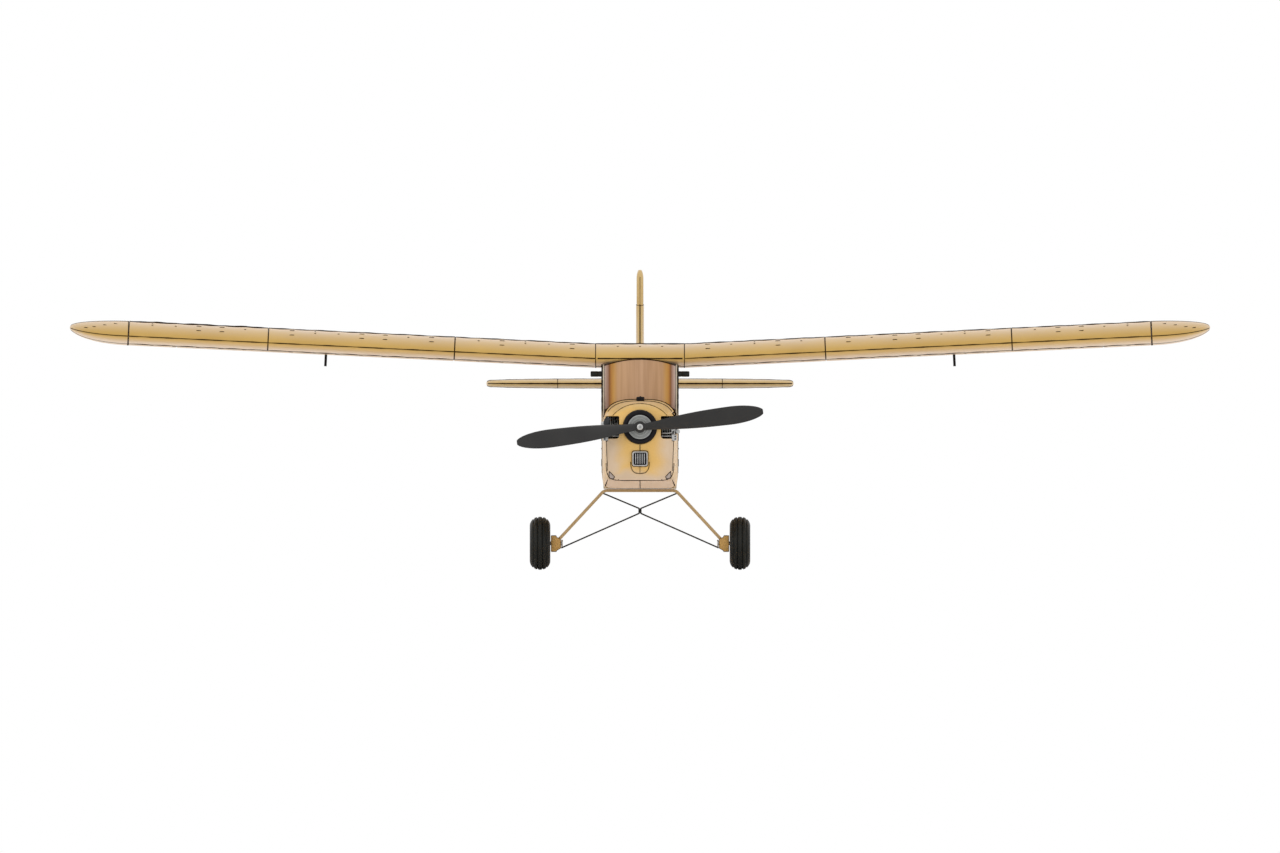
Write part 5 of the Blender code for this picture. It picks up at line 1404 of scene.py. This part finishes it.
def section_halves(lead, length, half, sag, count):
    """The (station, height) points of one face of a tail section, front to rear, with its film drawn in."""
    points = []
    for turn in steps(0.0, pi, count):
        u = (1 - cos(turn)) / 2
        drawn = sag * smooth((u - 0.3) / 0.2) * (1 - smooth((u - 0.85) / 0.1))
        points.append((lead + u * length, half * nose_height(u) - drawn))
    return points


def ringed(face):
    """A whole section from one face: its upper rear, round its nose, to its lower rear."""
    return face[::-1] + [(station, -height) for station, height in face[1:]]


def hinge_bore():
    return CUT, rod_tool(place(-101, ELEVATOR_HINGE, STAB_Z), place(101, ELEVATOR_HINGE, STAB_Z), 0.9, 12)


def rudder_bore():
    return CUT, rod_tool(place(0, RUDDER_HINGE, 122.0), place(0, RUDDER_HINGE, FIN_TOP - 1.5), 1.1, 12)


def make_stabiliser():
    rings = []
    for x in TAIL_SPOTS:
        lead = min(tail_lead(x), STAB_REAR - 1.5)
        face = section_halves(lead, STAB_REAR - lead, tail_half(x), tail_sag(x), 18)
        rings.append([place(x, station, STAB_Z + height) for station, height in ringed(face)])
    shape = lofted(rings)
    cuts = []
    for middle, half in ((0.0, 5.0), (-ELEVATOR_LUG_X, 2.0), (ELEVATOR_LUG_X, 2.0)):
        lug = ((STAB_REAR - 4.0, ELEVATOR_HINGE + 2.2), (STAB_Z - 2.2, STAB_Z + 2.2))
        cuts.append((JOIN, box_tool((middle - half, middle + half), *lug)))
    cuts.append(hinge_bore())
    shape.piece("stabiliser_cover", ("tail",), "tail_cover", "stabiliser", cuts=cuts)
    lines = Shape()
    spots = [x for x in TAIL_SPOTS if abs(x) < 119.5]
    taper = [1 - 0.4 * (abs(x) / STAB_HALF_SPAN) ** 3 for x in spots]
    lines.tube([place(x, tail_lead(x) + 0.05, STAB_Z) for x in spots],
               [0.62 * thin * (1 + 0.15 * wander(x * 0.2)) for x, thin in zip(spots, taper)])
    for low, high, sign in ((-119.9, 119.9, 1), (-119.9, -12.0, -1), (12.0, 119.9, -1)):
        run = [x for x in TAIL_SPOTS if low < x < high]
        crest = []
        for x in run:
            station = tail_lead(x) + 0.4 * (STAB_REAR - tail_lead(x))
            crest.append(place(x, station, STAB_Z + sign * (tail_half(x) - 0.08)))
        lines.tube(crest, [0.50 * (1 + 0.15 * wander(x * 0.2, 1.0)) for x in run])
    for x in (-ELEVATOR_LUG_X, ELEVATOR_LUG_X):
        face = section_halves(tail_lead(x), STAB_REAR - tail_lead(x), tail_half(x), 0.0, 18)
        outline = face + [(station, -height) for station, height in face[:0:-1]]
        lines.hoop([place(x, station, STAB_Z + height) for station, height in outline], 0.26)
    lines.piece("stabiliser_seams", ("seam",), "tail_cover")
    dress("steel", "elevator_hinge_pin")


def make_elevator():
    rings = []
    for x in TAIL_SPOTS:
        trail = max(ELEVATOR_HINGE + ELEVATOR_ROOT * tail_reach(x), ELEVATOR_HINGE + ELEVATOR_NOSE + 1.0)
        nose = ELEVATOR_NOSE * tail_half(x) / (STAB_THICKNESS / 2)
        turns = [radians(90 + 10 * i) for i in range(19)]
        section = [(nose * cos(a), nose * sin(a)) for a in turns]
        under = []
        for u in steps(0, 1, 9)[1:]:
            drawn = tail_sag(x) * sin(pi * u) * 0.8
            under.append((u * (trail - ELEVATOR_HINGE), drawn - nose * (1 - u) - 0.6 * u))
        section += under + [(aft, -up) for aft, up in reversed(under)]
        rings.append([place(x, ELEVATOR_HINGE + aft, STAB_Z + up) for aft, up in section])
    shape = lofted(rings)
    half, front, back = 8.5, 507.0, 510.5
    tall = (STAB_Z - 12.0, STAB_Z + 12.0)
    outline = ((-half, back), (half, back), (30.0, 555.0), (-30.0, 555.0))
    vee = lofted([[place(x, station, z) for x, station in outline] for z in tall])
    boxes = [((-half, half), (505.0, 512.0), (STAB_Z + 1.1, tall[1])),
             ((-half, half), (505.0, 512.0), (tall[0], STAB_Z - 1.1))]
    boxes += [((side * 61.8, side * 67.4), (495.0, 508.4), tall) for side in (-1, 1)]
    cuts = [(CUT, box_tool((-half, half), (490.0, front), tall)), (CUT, vee)]
    cuts += [(CUT, box_tool(*box)) for box in boxes] + [hinge_bore()]
    shape.piece("elevator_cover", ("tail",), "tail_cover", "elevator", "elevators", cuts=cuts)


def make_fin():
    rings, edge = [], []
    for t in steps(0, 1, 40):
        z, lead = FIN_BOTTOM + (FIN_TOP - FIN_BOTTOM) * t, FIN_ROOT_STATION + FIN_SWEEP * t ** FIN_SWEEP_POWER
        sag = 0.2 * sin(pi * 3 * t) ** 2
        face = section_halves(lead, TAIL_END - lead, FIN_THICKNESS / 2, sag, 16)
        rings.append([place(x, station, z) for station, x in ringed(face)])
        edge.append(place(0, lead + 0.05, z))
    shape = lofted(rings)
    post = 514.5
    cuts = [(CUT, box_tool((-6.0, 6.0), (501.0, 513.5), (FIN_BOTTOM - 2, 151.4))),
            (JOIN, box_tool((-2.6, 2.6), (post, TAIL_END), (belly(post) + 1.0, 155.0)))]
    for lug in RUDDER_LUGS:
        cuts.append((JOIN, box_tool((-2.2, 2.2), (TAIL_END - 4.0, RUDDER_HINGE + 2.2), lug)))
    cuts.append(rudder_bore())
    shape.piece("fin_cover", ("tail",), "tail_cover", "fin", cuts=cuts)
    lines = Shape()
    lines.tube(edge, 0.45)
    lines.piece("fin_edge_seam", ("seam",), "tail_cover")


def rudder_edges(z):
    """The stations of the rudder's leading and trailing edges. Its top reaches forward over the fin."""
    reach = min(abs(z - RUDDER_MIDDLE_Z) / RUDDER_HALF_HEIGHT, 1.0)
    rear = RUDDER_HINGE + RUDDER_LENGTH * (1 - reach ** RUDDER_POWER) ** (1 / RUDDER_POWER)
    if z <= FIN_TOP + 0.4:
        return RUDDER_HINGE - RUDDER_NOSE, rear
    rise = min((z - FIN_TOP) / RUDDER_CAP_HEIGHT, 1.0)
    return RUDDER_HINGE - RUDDER_OVERHANG * sqrt(1 - rise * rise), rear


def make_rudder():
    horn_z = 207.45
    heights = steps(RUDDER_BOTTOM, horn_z - 0.1, 44) + [horn_z]
    heights += [horn_z + (RUDDER_TOP - horn_z) * sin(a) for a in steps(0.0, pi / 2, 22)[1:]]
    rings = []
    for z in heights:
        lead, trail = rudder_edges(z)
        top = min(max((z - 228.0) / 7.2, 0.0), 1.0)
        slim = RUDDER_NOSE * sqrt(1 - 0.80 * top ** 2)
        front = RUDDER_HINGE if lead > RUDDER_HINGE - 3 else lead + RUDDER_NOSE
        sag = 0.2 * sin(pi * (z - RUDDER_BOTTOM) / 20.8) ** 2
        face = [(0.6, trail)]
        for u in steps(1, 0, 8)[1:-1]:
            face.append((slim + (0.6 - slim) * u - sag * sin(pi * u), front + (trail - front) * u))
        nose = [(slim * cos(a), front - RUDDER_NOSE * sin(a)) for a in steps(0.0, pi, 12)]
        section = face + nose + [(-x, station) for x, station in reversed(face)]
        rings.append([place(x, station, z) for x, station in section])
    shape = lofted(rings)
    cuts = []
    for low, high in RUDDER_LUGS:
        cuts.append((CUT, box_tool((-8.0, 8.0), (510.0, 527.4), (low - 0.8, high + 0.8))))
    cuts.append(rudder_bore())
    shape.piece("rudder_cover", ("tail",), "tail_cover", "rudder", "rudder_unit", cuts=cuts)
    lines = Shape()
    front_edge = [place(0, rudder_edges(z)[0] - 0.05, z) for z in steps(208.6, 229.5, 11)]
    lines.tube(front_edge, steps(0.10, 0.232, 11))
    horn = ((-2.75, 523.0), (-2.75, 511.5), (-2.2, 508.6), (0.0, 507.0), (2.2, 508.6), (2.75, 511.5),
            (2.75, 523.0))
    lines.tube([place(x, station, horn_z + 0.3) for x, station in horn], 0.42)
    lines.piece("rudder_seams", ("seam",), "tail_cover", body="rudder_unit")


def make_tail_wheel():
    centre, half = place(0, TAIL_AXLE_STATION, TAIL_AXLE_Z), TAIL_WHEEL_WIDTH / 2
    shape = Shape()
    tyre = [(5.2, half - 0.6), (6.2, half - 0.05), (7.2, half - 0.15), (8.0, half - 0.75), (8.4, half - 1.5),
            (8.5, 0.0)]
    hub = [(5.3, half - 0.9), (4.9, half - 0.5), (4.4, half - 0.9), (2.6, half - 1.2), (2.2, half - 0.2),
           (1.1, half - 0.1)]
    shape.turned(mirrored(tyre), centre, ACROSS)
    shape.turned(mirrored(hub), centre, ACROSS, 1, 48)
    shape.piece("tail_wheel_turned", ("tyre", "hub"), "tyre_rubber", "tail_wheel", "tailwheel")
    dress("steel", "tail_wheel_wire")


# ---------------------------------------------------------------- landing gear

def strap_centre():
    """The strap's middle line as (x, z), from its right foot over the level top to its left foot."""
    slope = atan2(STRAP_FOOT[1] - STRAP_Z, STRAP_FOOT[0] - STRAP_BEND_X)
    bend_x = STRAP_BEND_X - STRAP_BEND_RADIUS * tan(-slope / 2)
    bend_z = STRAP_Z - STRAP_BEND_RADIUS
    turns = [pi / 2 + slope * (1 - i / 12) for i in range(13)]
    bend = [(bend_x + STRAP_BEND_RADIUS * cos(a), bend_z + STRAP_BEND_RADIUS * sin(a))
            for a in turns]
    foot = (STRAP_FOOT[0] + FOOT_DEPTH * cos(slope), STRAP_FOOT[1] + FOOT_DEPTH * sin(slope))
    leg = list(zip(steps(foot[0], bend[0][0], 12), steps(foot[1], bend[0][1], 12)))[:-1]
    half = leg + bend
    return half + [(-x, z) for x, z in reversed(half)]


def make_strap():
    centre = strap_centre()
    rings = []
    for before, (x, z), after in zip(centre[:1] + centre, centre, centre[1:] + centre[-1:]):
        dx, dz = after[0] - before[0], after[1] - before[1]
        size = hypot(dx, dz)
        low = abs(z - STRAP_Z) / (STRAP_Z - STRAP_FOOT[1])
        width = STRAP_WIDTH / 2 - 0.8 * low
        under, over = -STRAP_THICKNESS / 2 - 0.1, STRAP_THICKNESS / 2 + 0.35
        section = rounded_outline(-width, width, under, over, 0.5, 4)
        rings.append([place(x - dz / size * up, AXLE_STATION + aft, z + dx / size * up)
                      for aft, up in section])
    shape = lofted(rings)
    shape.piece("gear_strap_bent", ("gear",), "gear_paint", "gear_strap")


def make_axle_block(label, side):
    """The block on the strap's foot, with its outline drawn dark, and the axle with its collars."""
    outline = ((69.7, 26.9), (65.9, 26.9), (65.2, 25.5), (62.9, 24.6), (62.1, 23.2), (62.1, 17.0),
               (65.0, 15.3), (65.8, 14.2), (69.7, 14.2))
    front, rear = 89.0, 106.0
    shape = Shape()
    shape.slab(outline, (front, rear), side)
    hole = rod_tool(*[place(side * x, AXLE_STATION, WHEEL_RADIUS) for x in (55, 75)], 1.8)
    shape.piece(f"axle_block_{label}_moulded", ("block",), "block_plastic", f"axle_block_{label}", bevel=0.2,
                cuts=((CUT, hole),))
    axle = Shape()
    profile = ((0.0, 85.6), (2.2, 85.6), (2.7, 85.4), (3.0, 85.0), (3.0, 83.9), (2.8, 83.6), (1.5, 83.6),
               (1.5, 61.7), (2.6, 61.7), (2.8, 61.5), (2.8, 60.7), (2.6, 60.5), (0.0, 60.5))
    axle.turned(profile, place(0, AXLE_STATION, WHEEL_RADIUS), (side, 0, 0), sides=48)
    axle.piece(f"axle_{label}_turned", ("bright",), "bright_metal", f"axle_{label}")
    edge = Shape()
    edge.hoop([place(side * x, front - 0.05, z) for x, z in drawn_round(outline, 4)], 0.2)
    edge.piece(f"axle_block_edge_{label}", ("seam",), "block_plastic")


def make_cross_wires():
    """Two bent wires, each from a corner of the strap to the foot below it, bound where they meet."""
    high, low = (0.9, 48.25), (0.9, 44.15)
    strap_end, foot_end = (29.4, 60.2), (61.5, 17.3)
    meeting = (high, (0.62, 47.9), (0.5, 47.2), (0.48, 46.2), (0.5, 45.2), (0.62, 44.5), low)
    hook = ((29.4, 0.0, 60.2), (30.0, -2.2, 60.6), (29.6, -4.0, 60.4))
    shape = Shape()
    for side in (-1, 1):
        for (ax, az), (bx, bz) in ((strap_end, high), (foot_end, low)):
            path = [place(side * x, WIRE_STATION, z) for x, z in zip(steps(ax, bx, 24), steps(az, bz, 24))]
            shape.tube(path, WIRE_RADIUS, sides=12, rounded=True)
        shape.tube([place(side * x, WIRE_STATION, z) for x, z in meeting], WIRE_RADIUS, sides=12)
        path = [place(side * x, WIRE_STATION + aft, z) for x, aft, z in hook]
        shape.tube(path, 0.45, sides=10, rounded=True)
    for z in steps(44.9, 47.38, 4):
        binding = [place(1.12 * cos(a), WIRE_STATION + 0.72 * sin(a), z) for a in circle(24)]
        shape.hoop(binding, 0.26, sides=8)
    shape.piece("cross_wires_bent", ("steel",), "wire_steel", "cross_wires")


def make_tyre(label, side):
    half, crown = TYRE_WIDTH / 2, 7.4
    grooves, groove_width = (-5.0, -1.9, 1.9, 5.0), 0.45
    profile = []
    for turn in steps(0.0, pi, 150)[3:-3]:
        x = half * cos(turn)
        radius = WHEEL_RADIUS - crown + crown * sqrt(1 - (abs(x) / half) ** 2.3)
        for groove in grooves:
            depth = 1.15 * (1 - min(abs(groove) / 9.0, 0.4))
            radius -= depth * exp(-((x - groove) / groove_width) ** 2)
        profile.append((radius, x))
    bead = [(WHEEL_RADIUS - 8.3, half - 2.6), (WHEEL_RADIUS - 8.0, half - 1.2)]
    profile = bead + profile + [(radius, -x) for radius, x in reversed(bead)]
    shape = Shape()
    shape.turned(profile, place(side * WHEEL_X, AXLE_STATION, WHEEL_RADIUS), (side, 0, 0), sides=128)
    shape.piece(f"tyre_{label}_grooved", ("tyre",), "tyre_rubber", f"tyre_{label}", f"{label}_wheel",
                sharp=60)


def make_hub(label, side):
    centre, half, rim = place(side * WHEEL_X, AXLE_STATION, WHEEL_RADIUS), TYRE_WIDTH / 2, WHEEL_RADIUS - 8.6
    spokes, spoke_face = 10, half - 5.45
    hub = Shape()
    dish = [(rim, half - 2.2), (rim - 0.5, half - 1.7), (rim - 1.2, half - 1.9), (rim - 1.6, half - 3.2),
            (rim - 2.2, half - 5.2), (7.6, half - 5.6), (5.2, half - 5.2), (4.4, half - 4.0),
            (3.8, half - 3.5), (1.8, half - 3.5)]
    hub.turned(mirrored(dish), centre, (side, 0, 0), sides=96)
    for turn in circle(spokes):
        out = Vector((0, cos(turn), sin(turn)))
        for face in (1, -1):
            base = centre + Vector((side * face * spoke_face * MM, 0, 0))
            hub.tube([base + out * reach * MM for reach in (4.6, 9.6)], 0.55, sides=10, rounded=True)
    hub.piece(f"wheel_hub_{label}_spoked", ("hub",), "hub_plastic", f"wheel_hub_{label}", f"{label}_wheel")


def make_landing_gear():
    make_strap()
    for label, side in SIDES:
        make_axle_block(label, side)
    make_cross_wires()
    for label, side in SIDES:
        make_tyre(label, side)
        make_hub(label, side)


# ---------------------------------------------------------------- propeller

def blade_chord(t):
    swell = 4.2 + 10.5 * (1 - exp(-(t / 0.33) ** 1.6))
    return swell * (1 - max(t - 0.72, 0.0) ** 2 / 0.0815) ** 0.5


def blade_rings(turn):
    """Sections of one blade from its root to its tip, flat behind and rounded in front."""
    root, tip, steepest = 0.024, 0.9985, radians(48)
    rings = []
    for a in steps(0.0, pi / 2, 60):
        t = root + (tip - root) * sin(a)
        radius = t * PROP_RADIUS
        angle = min(atan(PITCH / (2 * pi * radius)), steepest)
        chord, thick = blade_chord(t) / cos(angle), 2.6 - 1.7 * t
        ring = []
        for b in circle(28):
            along = 0.5 * cos(b)
            over = sin(b) * (1.0 if sin(b) > 0 else 0.15) * (1 - 0.25 * along)
            p, q = along * chord, over * thick
            up, aft = p * cos(angle) - q * sin(angle), p * sin(angle) + q * cos(angle)
            spun = Matrix.Rotation(turn, 4, "Y") @ Vector((radius, 0, up))
            ring.append(place(spun.x, -aft, THRUST_Z + spun.z))
        rings.append(ring)
    return rings


def make_propeller():
    centre = place(0, 0, THRUST_Z)
    hub = Shape()
    hub.turned(mirrored([(SHAFT_BORE, 3.2), (4.0, 3.2), (4.4, 3.0), (4.6, 2.5)]), centre, FORWARD)
    cuts = []
    for turn in (-PROP_TILT, pi - PROP_TILT):
        cuts.append((JOIN, lofted(blade_rings(turn))))
    cuts.append((CUT, rod_tool(place(0, -20, THRUST_Z), place(0, 20, THRUST_Z), SHAFT_BORE)))
    hub.piece("propeller_moulded", ("plastic",), "black_plastic", "propeller", "airscrew", cuts=cuts)
    nut = Shape()
    profile = ((1.0, 6.0), (1.7, 6.0), (2.2, 5.8), (2.45, 5.4), (2.45, 3.7), (2.3, 3.5), (1.0, 3.5))
    nut.turned(profile, centre, FORWARD, sides=48)
    nut.turned(((0.0, 5.9), (0.6, 5.9), (0.8, 5.7), (0.8, 3.6), (0.0, 3.6)), centre, FORWARD, sides=24)
    nut.piece("propeller_nut_turned", ("bright",), "bright_metal", "propeller_nut", "airscrew")
    dress("steel", "propeller_shaft")


make_camera()
make_surroundings()
make_wing()
make_fuselage()
make_cowl_group()
make_stabiliser()
make_elevator()
make_fin()
make_rudder()
make_tail_wheel()
make_landing_gear()
make_propeller()
